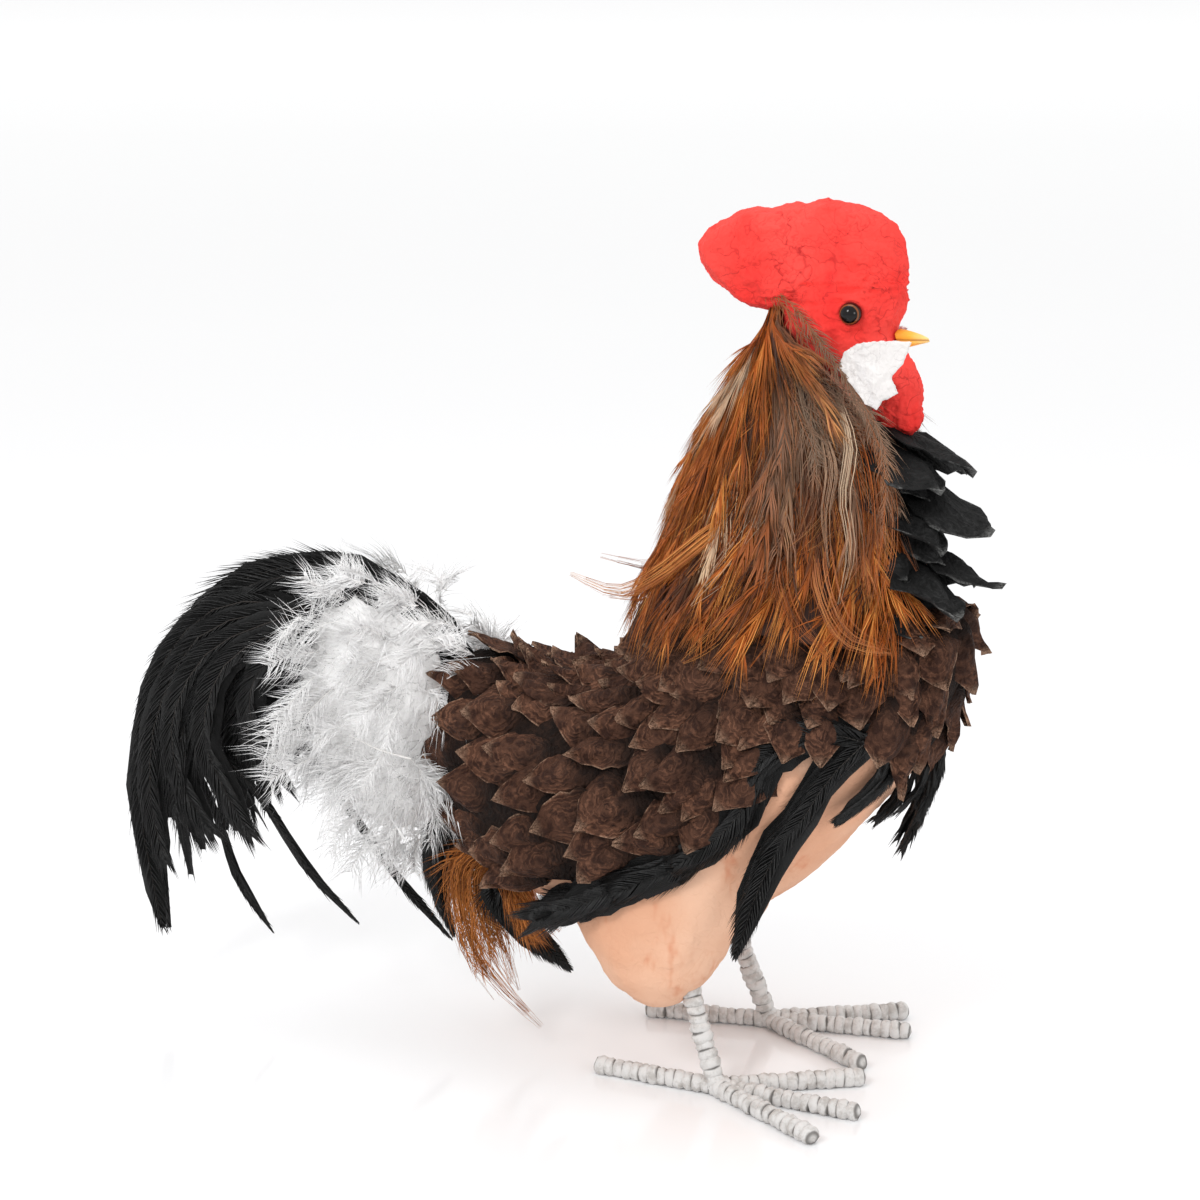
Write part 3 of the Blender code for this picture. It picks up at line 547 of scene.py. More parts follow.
class Finish(Enum):
    """The finishes of the figurine, each with what it is made of."""

    # Each crumpled paper's second colour is the painted shade of its creases.
    RED_PAPER = CrumpledPaper(
        "red_crepe", dye(233, 52, 46), dye(156, 16, 22), dye(242, 74, 66), dye(212, 36, 36),
        stained=0.55, crease_shading=0.45, fold=0.017, wrinkle=0.005, depth=0.0009)
    FLESH_PAPER = CrumpledPaper(
        "flesh_crepe", dye(216, 163, 132), dye(196, 130, 96), dye(226, 182, 154), dye(200, 116, 76),
        stained=0.75, crease_shading=0.1, fold=0.02, wrinkle=0.005, depth=0.0004)
    WHITE_PAPER = CrumpledPaper(
        "white_crepe", dye(218, 214, 212), dye(170, 164, 162), dye(228, 225, 223), dye(206, 204, 206),
        stained=0.4, crease_shading=0.35, fold=0.010, wrinkle=0.003, depth=0.0004)
    # Leaf paper colours in order: painted root shade, face, painted highlight of the crests, painted
    # highlight of the rims.
    BLACK_PAPER = LeafPaper(
        "black_crepe", dye(9, 9, 9), dye(18, 18, 18), dye(54, 54, 54), dye(136, 136, 134),
        ripple=3.4, depth=0.0007)
    BROWN_PAPER = LeafPaper(
        "brown_crepe", dye(13, 7, 5), dye(50, 29, 21), dye(124, 85, 65), dye(196, 160, 134),
        ripple=2.9, depth=0.0011)
    HACKLE = HackleDye("neck_barbs")
    BLACK_FEATHER = FeatherDye(
        "black_barbs", dye(4, 4, 4), dye(10, 10, 10), dye(26, 25, 25), dye(50, 44, 40),
        roughness=0.38, gloss=0.34)
    RUST_FEATHER = FeatherDye(
        "rust_barbs", dye(104, 58, 26), dye(192, 116, 52), dye(222, 156, 92), dye(150, 104, 66),
        roughness=0.6, gloss=0.3)
    WHITE_DOWN = FeatherDye(
        "marabou", dye(246, 245, 244), dye(252, 251, 251), dye(255, 255, 255), dye(244, 241, 237),
        roughness=0.85, gloss=0.1)
    HORN = Horn("beak_horn")
    EYE = EyeGlass("glass_bead")
    LEG = LegPaper("twisted_paper")
    FLOOR = StudioFloor("studio_floor")

    def material(self) -> Material:
        """The material, made once."""
        known = bpy.data.materials.get(self.value.name)
        return known or self.value.material()


@dataclass
class Mould:
    """Points, faces and the points' named values of a piece that is being put together."""

    names: tuple[str, ...] = ()
    points: list[Array] = field(default_factory=list)
    triangles: list[Array] = field(default_factory=list)
    quads: list[Array] = field(default_factory=list)
    values: dict[str, list[Array]] = field(default_factory=dict)
    count: int = 0

    def add(self, points: Array, triangles: Any = (), quads: Any = (), **values: Any) -> None:
        """Adds one shape.

        Args:
            points: Its points in the bird's millimetres.
            triangles: Rows of three indices into points.
            quads: Rows of four.
            **values: Point values by name, each an array or one number.
        """
        size = len(points)
        self.points.append(points)
        if len(triangles):
            self.triangles.append(np.asarray(triangles, int) + self.count)
        if len(quads):
            self.quads.append(np.asarray(quads, int) + self.count)
        for name in self.names:
            value = np.broadcast_to(np.asarray(values.get(name, 0.0), float), (size,))
            self.values.setdefault(name, []).append(value)
        self.count += size

    def mesh(self, name: str) -> Mesh:
        """Makes the mesh in the frame's metres."""
        mesh = bpy.data.meshes.new(name)
        points = STAND.out(np.concatenate(self.points))
        groups = [np.concatenate(kind) for kind in (self.triangles, self.quads) if kind]
        sizes = np.concatenate([np.full(len(group), group.shape[1]) for group in groups])
        corners = np.concatenate([group.ravel() for group in groups])
        mesh.vertices.add(len(points))
        mesh.vertices.foreach_set("co", points.astype(np.float32).ravel())
        mesh.loops.add(len(corners))
        mesh.loops.foreach_set("vertex_index", corners.astype(np.int32))
        mesh.polygons.add(len(sizes))
        starts = np.concatenate([[0], np.cumsum(sizes)[:-1]])
        mesh.polygons.foreach_set("loop_start", starts.astype(np.int32))
        mesh.update(calc_edges=True)
        for value_name, arrays in self.values.items():
            attribute = mesh.attributes.new(value_name, "FLOAT", "POINT")
            attribute.data.foreach_set("value", np.concatenate(arrays).astype(np.float32))
        mesh.validate()
        return mesh


def show(name: str, mesh: Mesh, finish: Finish, nodes: Sequence[str],
         sharp: float | None = None) -> bpy.types.Object:
    """Puts a finished piece into the scene.

    Args:
        name: Its name.
        mesh: Its mesh, in the frame's metres.
        finish: What it is made of.
        nodes: The CAD nodes that it stands for.
        sharp: Edges above this many degrees stay sharp; None rounds them all.

    Returns:
        The object.
    """
    piece = bpy.data.objects.new(name, mesh)
    bpy.context.scene.collection.objects.link(piece)
    mesh.materials.clear()
    mesh.materials.append(finish.material())
    mesh.shade_smooth()
    if sharp is not None:
        mesh.set_sharp_from_angle(angle=math.radians(sharp))
    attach(piece, "root")
    if nodes:
        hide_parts(*nodes)
    LOG.info("%s: %d faces", name, len(mesh.polygons))
    return piece


class Growth(Nodes):
    """A tree of geometry nodes with named inputs."""

    def __init__(self, name: str, **inputs: str) -> None:
        """Starts the tree.

        Args:
            name: The tree's name.
            **inputs: What kind of value each input takes, beside geometry, seed and material.
        """
        self.tree = bpy.data.node_groups.new(name, "GeometryNodeTree")
        sockets = self.tree.interface
        kinds = {"Geometry": "Geometry", **inputs, "Seed": "Int", "Material": "Material"}
        for title, kind in kinds.items():
            sockets.new_socket(title, in_out="INPUT", socket_type="NodeSocket" + kind)
        sockets.new_socket("Geometry", in_out="OUTPUT", socket_type="NodeSocketGeometry")
        self.given = self.node("NodeGroupInput").outputs

    def even(self, least: Any, most: Any) -> Value:
        """Numbers between two numbers, one for each point."""
        sockets = {2: least, 3: most, "Seed": self.given["Seed"]}
        return self.take("FunctionNodeRandomValue", {"data_type": "FLOAT"}, sockets, 1)

    def loose(self, most: Any) -> Value:
        """Vectors between a vector and its opposite, one for each point."""
        sockets = {0: self.vector("SCALE", most, -1.0), 1: most, "Seed": self.given["Seed"]}
        return self.take("FunctionNodeRandomValue", {"data_type": "FLOAT_VECTOR"}, sockets)

    def place(self, points: Any, shape: str, way: Any, askew: Any, size: Any) -> None:
        """Puts a shape on every point, realizes it, gives it its material and ends the tree.

        Args:
            points: The points.
            shape: Name of the input that holds the shape.
            way: Where the shape's Z axis points.
            askew: Further turns about the shape's own axes.
            size: The shape's size.
        """
        along = self.take("FunctionNodeAlignRotationToVector", {"axis": "Z"}, {"Vector": way})
        turn = self.take("FunctionNodeEulerToRotation", None, {0: askew})
        turned = self.take("FunctionNodeRotateRotation", {"rotation_space": "LOCAL"}, {0: along, 1: turn})
        copy = self.take("GeometryNodeObjectInfo", None, {0: self.given[shape]}, "Geometry")
        sockets = {"Points": points, "Instance": copy, "Rotation": turned, "Scale": size}
        real = self.take("GeometryNodeRealizeInstances", None,
                         {0: self.take("GeometryNodeInstanceOnPoints", None, sockets)})
        painted = self.take("GeometryNodeSetMaterial", None, {0: real, "Material": self.given["Material"]})
        self.node("NodeGroupOutput", None, {0: painted})

    def grow(self, host: bpy.types.Object, **inputs: Any) -> Mesh:
        """Runs the tree on an object and removes it again.

        Args:
            host: The object that things grow on.
            **inputs: The inputs by name.

        Returns:
            A plain mesh of what has grown.
        """
        modifier = host.modifiers.new(self.tree.name, "NODES")
        modifier.node_group = self.tree
        for item in self.tree.interface.items_tree:
            if item.item_type == "SOCKET" and item.in_out == "INPUT" and item.name in inputs:
                modifier[item.identifier] = inputs[item.name]
        host.update_tag()
        bpy.context.view_layer.update()
        graph = bpy.context.evaluated_depsgraph_get()
        mesh = bpy.data.meshes.new_from_object(host.evaluated_get(graph))
        host.modifiers.remove(modifier)
        return mesh


def wrapping_tree() -> Growth:
    """Rings of paper at an even pitch along a wire, each a little askew."""
    growth = Growth("wrapping", Pitch="Float", Tilt="Float", Unevenness="Float", Ring="Object")
    given = growth.given
    wire = growth.take("GeometryNodeMeshToCurve", None, {0: given["Geometry"]})
    spots = growth.take("GeometryNodeResampleCurve", {"mode": "LENGTH"},
                        {0: wire, "Length": given["Pitch"]})
    tangent = growth.take("GeometryNodeInputTangent")
    most = growth.take("ShaderNodeCombineXYZ", None, {0: given["Tilt"], 1: given["Tilt"], 2: math.pi})
    uneven = Value(growth, given["Unevenness"])
    growth.place(spots, "Ring", tangent, growth.loose(most), growth.even(1.0 - uneven, 1.0 + uneven))
    return growth


def strand_tree() -> Growth:
    """Loose strands that stand out of a soft body and lean one way."""
    growth = Growth("strands", Density="Float", Lean="Vector", Scatter="Float", Shortest="Float",
                    Longest="Float", Strand="Object")
    given = growth.given
    sockets = {"Mesh": given["Geometry"], "Density": given["Density"], "Seed": given["Seed"]}
    spots = growth.node("GeometryNodeDistributePointsOnFaces", None, sockets).outputs
    loose = growth.loose(growth.vector("SCALE", (1.0, 1.0, 1.0), given["Scatter"]))
    lean = growth.vector("ADD", given["Lean"], loose)
    way = growth.vector("ADD", lean, spots["Normal"])
    size = growth.even(given["Shortest"], given["Longest"])
    growth.place(spots["Points"], "Strand", way, growth.loose((0.0, 0.0, math.pi)), size)
    return growth


def helper(name: str, mesh: Mesh) -> bpy.types.Object:
    """A short-lived object that a tree reads."""
    made = bpy.data.objects.new(name, mesh)
    bpy.context.scene.collection.objects.link(made)
    return made


def drop(*objects: bpy.types.Object) -> None:
    """Removes short-lived objects."""
    for obj in objects:
        bpy.data.objects.remove(obj, do_unlink=True)


def even_copy(node: str, voxel: float, rounds: int) -> Mesh:
    """A closed, evenly meshed and smoothed copy of a CAD node.

    Args:
        node: The node's name.
        voxel: The size of its mesh, in millimetres.
        rounds: How often it is smoothed.

    Returns:
        The copy's mesh.
    """
    bm = bmesh.new()
    bm.from_mesh(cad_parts[node].data)
    bmesh.ops.remove_doubles(bm, verts=bm.verts, dist=1e-6)
    mesh = bpy.data.meshes.new(node + "_copy")
    bm.to_mesh(mesh)
    bm.free()
    obj = helper(node + "_copy", mesh)
    remesh = obj.modifiers.new("even", "REMESH")
    remesh.mode = "VOXEL"
    remesh.voxel_size = voxel * MM
    rub = obj.modifiers.new("rub", "SMOOTH")
    rub.iterations = rounds
    graph = bpy.context.evaluated_depsgraph_get()
    made = bpy.data.meshes.new_from_object(obj.evaluated_get(graph))
    drop(obj)
    return made


def mesh_points(mesh: Mesh) -> Array:
    """The points of a mesh in the bird's millimetres."""
    flat = np.empty(len(mesh.vertices) * 3)
    mesh.vertices.foreach_get("co", flat)
    return STAND.back(flat.reshape(-1, 3))


def mesh_normals(mesh: Mesh) -> Array:
    """The normals at the points of a mesh."""
    flat = np.empty(len(mesh.vertices) * 3, np.float32)
    mesh.vertex_normals.foreach_get("vector", flat)
    return flat.reshape(-1, 3).astype(float)


def face_out(mesh: Mesh) -> None:
    """Closes the seams of a mesh and turns its faces outwards."""
    bm = bmesh.new()
    bm.from_mesh(mesh)
    bmesh.ops.remove_doubles(bm, verts=bm.verts, dist=1e-6)
    bmesh.ops.recalc_face_normals(bm, faces=bm.faces)
    bm.to_mesh(mesh)
    bm.free()


def tube(rings: int, sides: int) -> list[tuple[int, ...]]:
    """The faces between rings of points that run anticlockwise up a tube."""
    faces = []
    for i in range(rings - 1):
        for k in range(sides):
            n = (k + 1) % sides
            faces.append((i * sides + k, i * sides + n, (i + 1) * sides + n, (i + 1) * sides + k))
    return faces


def small_mesh(name: str, points: Sequence[Sequence[float]], faces: Sequence[tuple[int, ...]],
               **values: Any) -> Mesh:
    """A small shape at the origin.

    Args:
        name: Its name.
        points: Its points, in millimetres.
        faces: Its faces.
        **values: Point values by name, each a list or one number.

    Returns:
        Its mesh, in metres.
    """
    mesh = bpy.data.meshes.new(name)
    mesh.from_pydata([tuple(p) for p in np.array(points) * MM], [], faces)
    for title, value in values.items():
        set_value(mesh, title, np.broadcast_to(value, (len(points),)))
    mesh.shade_smooth()
    return mesh


def move_points(mesh: Mesh, points: Array) -> None:
    """Puts the points of a mesh back."""
    mesh.vertices.foreach_set("co", STAND.out(points).astype(np.float32).ravel())
    mesh.update()


def set_value(mesh: Mesh, name: str, values: Array) -> None:
    """Gives a mesh a named value on its points."""
    attribute = mesh.attributes.new(name, "FLOAT", "POINT")
    attribute.data.foreach_set("value", np.asarray(values, np.float32))


def crumple(mesh: Mesh, fold: Sequence[float], height: float, fine: float, seed: float,
            mask: Array | None = None) -> None:
    """Presses folds into a mesh, as into paper that was crumpled and glued down.

    Args:
        mesh: The mesh.
        fold: The size of the main folds along each axis, in millimetres.
        height: How far they stand out, in millimetres.
        fine: The share of the height that the finer folds have.
        seed: Moves the pattern.
        mask: How strong the folds are at each point, or None for all alike.
    """
    points = mesh_points(mesh)
    normals = mesh_normals(mesh)
    lift = np.zeros(len(points))
    weight = np.ones(len(points)) if mask is None else mask
    scaled = points / np.asarray(fold, float)
    for k in np.flatnonzero(weight > 0.01):
        at = Vector(scaled[k]) + Vector((seed, seed * 1.7, -seed))
        bent = at + noise.noise_vector(at * 0.8) * 0.55
        main = noise.ridged_multi_fractal(bent, 0.9, 2.1, 4, 1.0, 2.0)
        small = noise.ridged_multi_fractal(bent * 3.3, 1.0, 2.0, 2, 1.0, 2.0)
        lift[k] = ((main - 1.1) * 0.6 + (small - 1.1) * fine * 0.6) * weight[k]
    move_points(mesh, points + normals * (lift * height)[:, None])


@dataclass(frozen=True)
class Cut:
    """How one kind of feather is cut.

    Attributes:
        barbs: Barbs on each side of the shaft.
        width: Width of a barb, in millimetres.
        angle: Between a barb and the shaft, in degrees.
        bend: Share of its length by which a barb's end turns along the shaft.
        sag: Share of its length by which it drops towards the body.
        fray: Unevenness of the barbs.
        clump: Barbs that cling together.
        bare: Share of the shaft that has no barbs.
        shaft: Radius of the shaft at its root, in millimetres.
        web: Share of the half width that is a closed web.
        outline: Share of the half width at shares of the length.
    """

    barbs: int
    width: float
    angle: float
    bend: float
    sag: float
    fray: float
    clump: int
    bare: float
    shaft: float
    web: float
    outline: tuple[tuple[float, float], ...]


class Feathers(Mould):
    """A mould that feathers are added to."""

    SIDES = 3
    BARB_QUADS = np.array(((0, 1, 4, 3), (1, 2, 5, 4), (2, 0, 3, 5)))
    BARB_TRIANGLES = np.array(((0, 2, 1), (3, 4, 6), (4, 5, 6), (5, 3, 6)))

    def __init__(self) -> None:
        """Starts with the values that the feather finishes read."""
        super().__init__(("tone", "along", "edge", "strand", "shaft", "dark", "cream", "down", "ring"))

    def vane(self, route: Array, outward: Array, half_width: float, cut: Cut, rng: Rng,
             tone: float) -> None:
        """Adds the closed part of a feather, a thin web on both sides of the shaft.

        Args:
            route: The shaft from root to tip.
            outward: The way off the body at each point of the shaft.
            half_width: Half of the web's width at the widest.
            cut: How the feather is cut.
            rng: The source of its unevenness.
            tone: The feather's own shade.
        """
        count = len(route)
        tangent = unit(np.gradient(route, axis=0))
        out = unit(outward - tangent * np.sum(outward * tangent, 1, keepdims=True))
        across = np.cross(out, tangent)
        xs, ys = zip(*cut.outline)
        shares = np.linspace(0, 1, count)
        v = np.array((-1.0, -0.5, 0.0, 0.5, 1.0))
        side = v[None] * half_width * np.interp(shares, xs, ys)[:, None]
        side = side * (1 + rng.normal(0, 0.10, side.shape) * np.abs(v)[None])
        fall = -0.22 * np.abs(side) + rng.normal(0, 0.25, side.shape)
        top = route[:, None] + across[:, None] * side[..., None] + out[:, None] * fall[..., None]
        points = np.concatenate([top.reshape(-1, 3), (top - out[:, None] * 0.3).reshape(-1, 3)])
        length = float(np.linalg.norm(np.diff(route, axis=0), axis=1).sum())
        ring = (shares[:, None] * length - np.abs(side) / math.tan(math.radians(cut.angle))).ravel()
        add_sheet(self, points, count - 1, 4, tone=tone, along=np.tile(np.repeat(shares, 5), 2),
                  edge=np.tile(np.abs(v), 2 * count), strand=0.35, ring=np.tile(ring, 2))

    def feather(self, route: Array, outward: Array, half_width: float, cut: Cut, rng: Rng,
                masks: Masks | None = None, tone: float | None = None) -> None:
        """Adds one feather.

        Args:
            route: The shaft from root to tip.
            outward: The way off the body at each point of the shaft.
            half_width: Half of its width at the widest.
            cut: How it is cut.
            rng: The source of its unevenness.
            masks: Gives more point values from shares along the shaft and across the vane.
            tone: The feather's own shade from 0 to 1, or None for any.
        """
        tone = rng.uniform() if tone is None else tone
        grid = np.linspace(0, 1, len(route))
        tangent = unit(np.gradient(route, axis=0))
        total = 2 * cut.barbs
        order = np.arange(cut.barbs)
        base = cut.bare + (1 - cut.bare) * (order + 0.5) / cut.barbs
        shares = np.concatenate([base, base])
        shares = np.clip(shares + rng.uniform(-0.4, 0.4, total) * (1 - cut.bare) / cut.barbs, 0.0, 0.999)
        sides = np.repeat([1.0, -1.0], cut.barbs)

        def read(table: Array) -> Array:
            """Reads a table of vectors at the barbs' shares."""
            return np.stack([np.interp(shares, grid, table[:, k]) for k in range(3)], 1)

        roots = read(route)
        ahead = unit(read(tangent))
        out = read(outward)
        out = unit(out - ahead * np.sum(out * ahead, 1, keepdims=True))
        across = np.cross(out, ahead) * sides[:, None]
        clumps = total // cut.clump + 2
        member = np.concatenate([order, order + total]) // cut.clump % clumps
        swing = rng.normal(0, cut.fray * 0.22, clumps)[member] + rng.normal(0, cut.fray * 0.08, total)
        angle = np.clip(math.radians(cut.angle) + swing, 0.08, 1.35)
        way = ahead * np.cos(angle)[:, None] + across * np.sin(angle)[:, None]
        xs, ys = zip(*cut.outline)
        spread = half_width * np.interp(shares, xs, ys)
        reach = spread / math.sin(math.radians(cut.angle))
        reach = reach * rng.uniform(1 - cut.fray, 1 + 0.35 * cut.fray, total)
        rise = rng.normal(0, cut.fray * 0.07, total) + rng.normal(0, cut.fray * 0.1, clumps)[member]
        far = reach[:, None]
        middle = roots + way * far * 0.5 + out * far * (rise * 0.3 - cut.sag * 0.15)[:, None]
        ends = roots + way * far * (1 - cut.bend * 0.4) + ahead * far * cut.bend
        ends = ends + out * far * (rise - cut.sag)[:, None]
        wide = unit(np.cross(way, out)) * cut.width / 2
        high = out * cut.width * 0.4
        slim = 0.85
        shape = np.stack([roots + wide, roots - wide, roots + high, middle + wide * slim,
                          middle - wide * slim, middle + high * slim, ends], 1)
        offset = (np.arange(total) * 7)[:, None, None]
        along = np.repeat(shares, 7)
        edge = np.tile((0.0, 0.0, 0.0, 0.5, 0.5, 0.5, 1.0), total)
        extra = masks(along, edge) if masks else {}
        self.add(shape.reshape(-1, 3), (self.BARB_TRIANGLES[None] + offset).reshape(-1, 3),
                 (self.BARB_QUADS[None] + offset).reshape(-1, 4), tone=tone, along=along, edge=edge,
                 strand=np.repeat(rng.uniform(0, 1, total), 7), **extra)
        if cut.web:
            self.vane(route, outward, half_width * cut.web, cut, rng, tone)
        self.shaft(route, outward, cut.shaft, tone)

    def lock(self, route: Array, outward: Array, half_width: float, strands: int, radius: float,
             rng: Rng, masks: Masks | None = None, sunk: float = 0.0) -> None:
        """Adds strands that run side by side and close up at the tip.

        Args:
            route: The middle of the lock from root to tip.
            outward: The way off the body at each point of it.
            half_width: Half of its width at the widest.
            strands: How many strands.
            radius: Of a strand at its root, in millimetres.
            rng: The source of its unevenness.
            masks: Gives more point values from shares along the lock and across it.
            sunk: How far its roots dip, in millimetres.
        """
        count = len(route)
        t = np.linspace(0, 1, count)
        tangent = unit(np.gradient(route, axis=0))
        out = unit(outward - tangent * np.sum(outward * tangent, 1, keepdims=True))
        across = np.cross(out, tangent)
        swell = np.interp(t, (0, 0.3, 0.75, 1), (0.35, 1.0, 0.75, 0.12)) * half_width
        tone = rng.uniform()
        for _ in range(strands):
            aside, phase = rng.uniform(-1, 1), rng.uniform(0, 6.28)
            sway = 0.14 * np.sin(t * 5 + phase) + rng.normal(0, 0.08) * t
            shift = aside * swell + half_width * sway * t
            height = rng.normal(0, 0.4) - 0.25 * abs(aside) * swell + t * rng.normal(0, 0.9)
            height = height - sunk * (1 - np.clip(t * 3, 0, 1))
            path = route + across * shift[:, None] + out * height[:, None]
            keep = min(max(int(count * rng.uniform(0.7, 1.1)), 4), count)
            along = np.repeat(t[:keep], self.SIDES)
            extra = masks(along, np.full(len(along), abs(aside))) if masks else {}
            self.shaft(path[:keep], out[:keep], radius, tone, shaft=0.0, strand=rng.uniform(), **extra)

    def shaft(self, route: Array, outward: Array, radius: float, tone: float, **values: Any) -> None:
        """Adds a tapering shaft along a route."""
        count = len(route)
        tangent = unit(np.gradient(route, axis=0))
        across = unit(np.cross(outward, tangent))
        up = np.cross(tangent, across)
        taper = radius * (1 - 0.8 * np.linspace(0, 1, count))[:, None]
        turns = [2 * math.pi * k / self.SIDES for k in range(self.SIDES)]
        rings = [route + (across * math.cos(t) + up * math.sin(t)) * taper for t in turns]
        points = np.stack(rings, 1).reshape(-1, 3)
        caps = [(2, 1, 0), (count * 3 - 3, count * 3 - 2, count * 3 - 1)]
        values = {"shaft": 1.0, "strand": 0.5, **values}
        along = np.repeat(np.linspace(0, 1, count), self.SIDES)
        self.add(points, caps, tube(count, self.SIDES), tone=tone, along=along, **values)


HACKLE_CUT = Cut(
    barbs=32, width=0.72, angle=11.5, bend=0.4, sag=0.08, fray=0.42, clump=3, bare=0.03, shaft=0.3, web=0.0,
    outline=((0, 0.5), (0.2, 0.95), (0.5, 1.0), (0.8, 0.8), (1.0, 0.35)))
TAIL_CUT = Cut(
    barbs=70, width=1.0, angle=22, bend=0.5, sag=0.08, fray=0.18, clump=9, bare=0.04, shaft=0.7, web=0.86,
    outline=((0, 0.3), (0.1, 0.8), (0.35, 1.0), (0.75, 0.95), (0.93, 0.65), (1.0, 0.2)))
SICKLE_CUT = Cut(
    barbs=70, width=0.8, angle=16, bend=0.45, sag=0.06, fray=0.3, clump=7, bare=0.02, shaft=0.5, web=0.9,
    outline=((0, 0.8), (0.4, 0.7), (0.8, 0.9), (1.0, 0.1)))
FLANK_CUT = Cut(
    barbs=56, width=1.0, angle=27, bend=0.5, sag=0.10, fray=0.08, clump=6, bare=0.0, shaft=0.5, web=0.98,
    outline=((0, 0.7), (0.3, 1.0), (0.75, 0.9), (1.0, 0.1)))
VENT_CUT = Cut(
    barbs=40, width=0.5, angle=22, bend=0.4, sag=0.10, fray=0.8, clump=2, bare=0.0, shaft=0.3, web=0.0,
    outline=((0, 0.6), (0.3, 1.0), (0.7, 0.8), (1.0, 0.3)))
FUZZ_CUT = Cut(
    barbs=46, width=0.34, angle=28, bend=0.3, sag=0.10, fray=0.95, clump=1, bare=0.0, shaft=0.2, web=0.0,
    outline=((0, 0.7), (0.3, 1.0), (0.75, 0.9), (1.0, 0.4)))
MARABOU_CUT = Cut(
    barbs=36, width=0.4, angle=46, bend=0.30, sag=0.06, fray=0.8, clump=2, bare=0.04, shaft=0.3, web=0.0,
    outline=((0, 0.5), (0.25, 1.0), (0.7, 0.95), (1.0, 0.55)))
NECK = (
    (182, -48, 82, 46), (214, -56, 90, 52), (240, -48, 88, 50), (275, -35, 84, 44),
    (310, -26, 77, 37), (345, -12, 62, 29), (372, 4, 50, 21), (386, 11, 36, 12),
)
CAPE = (
    (389, 112, 0.0), (374, 74, 0.0), (356, 42, 1.0), (330, 28, 1.5), (300, 28, 2.0), (262, 30, 3.0),
    (232, 34, 7.0),
)


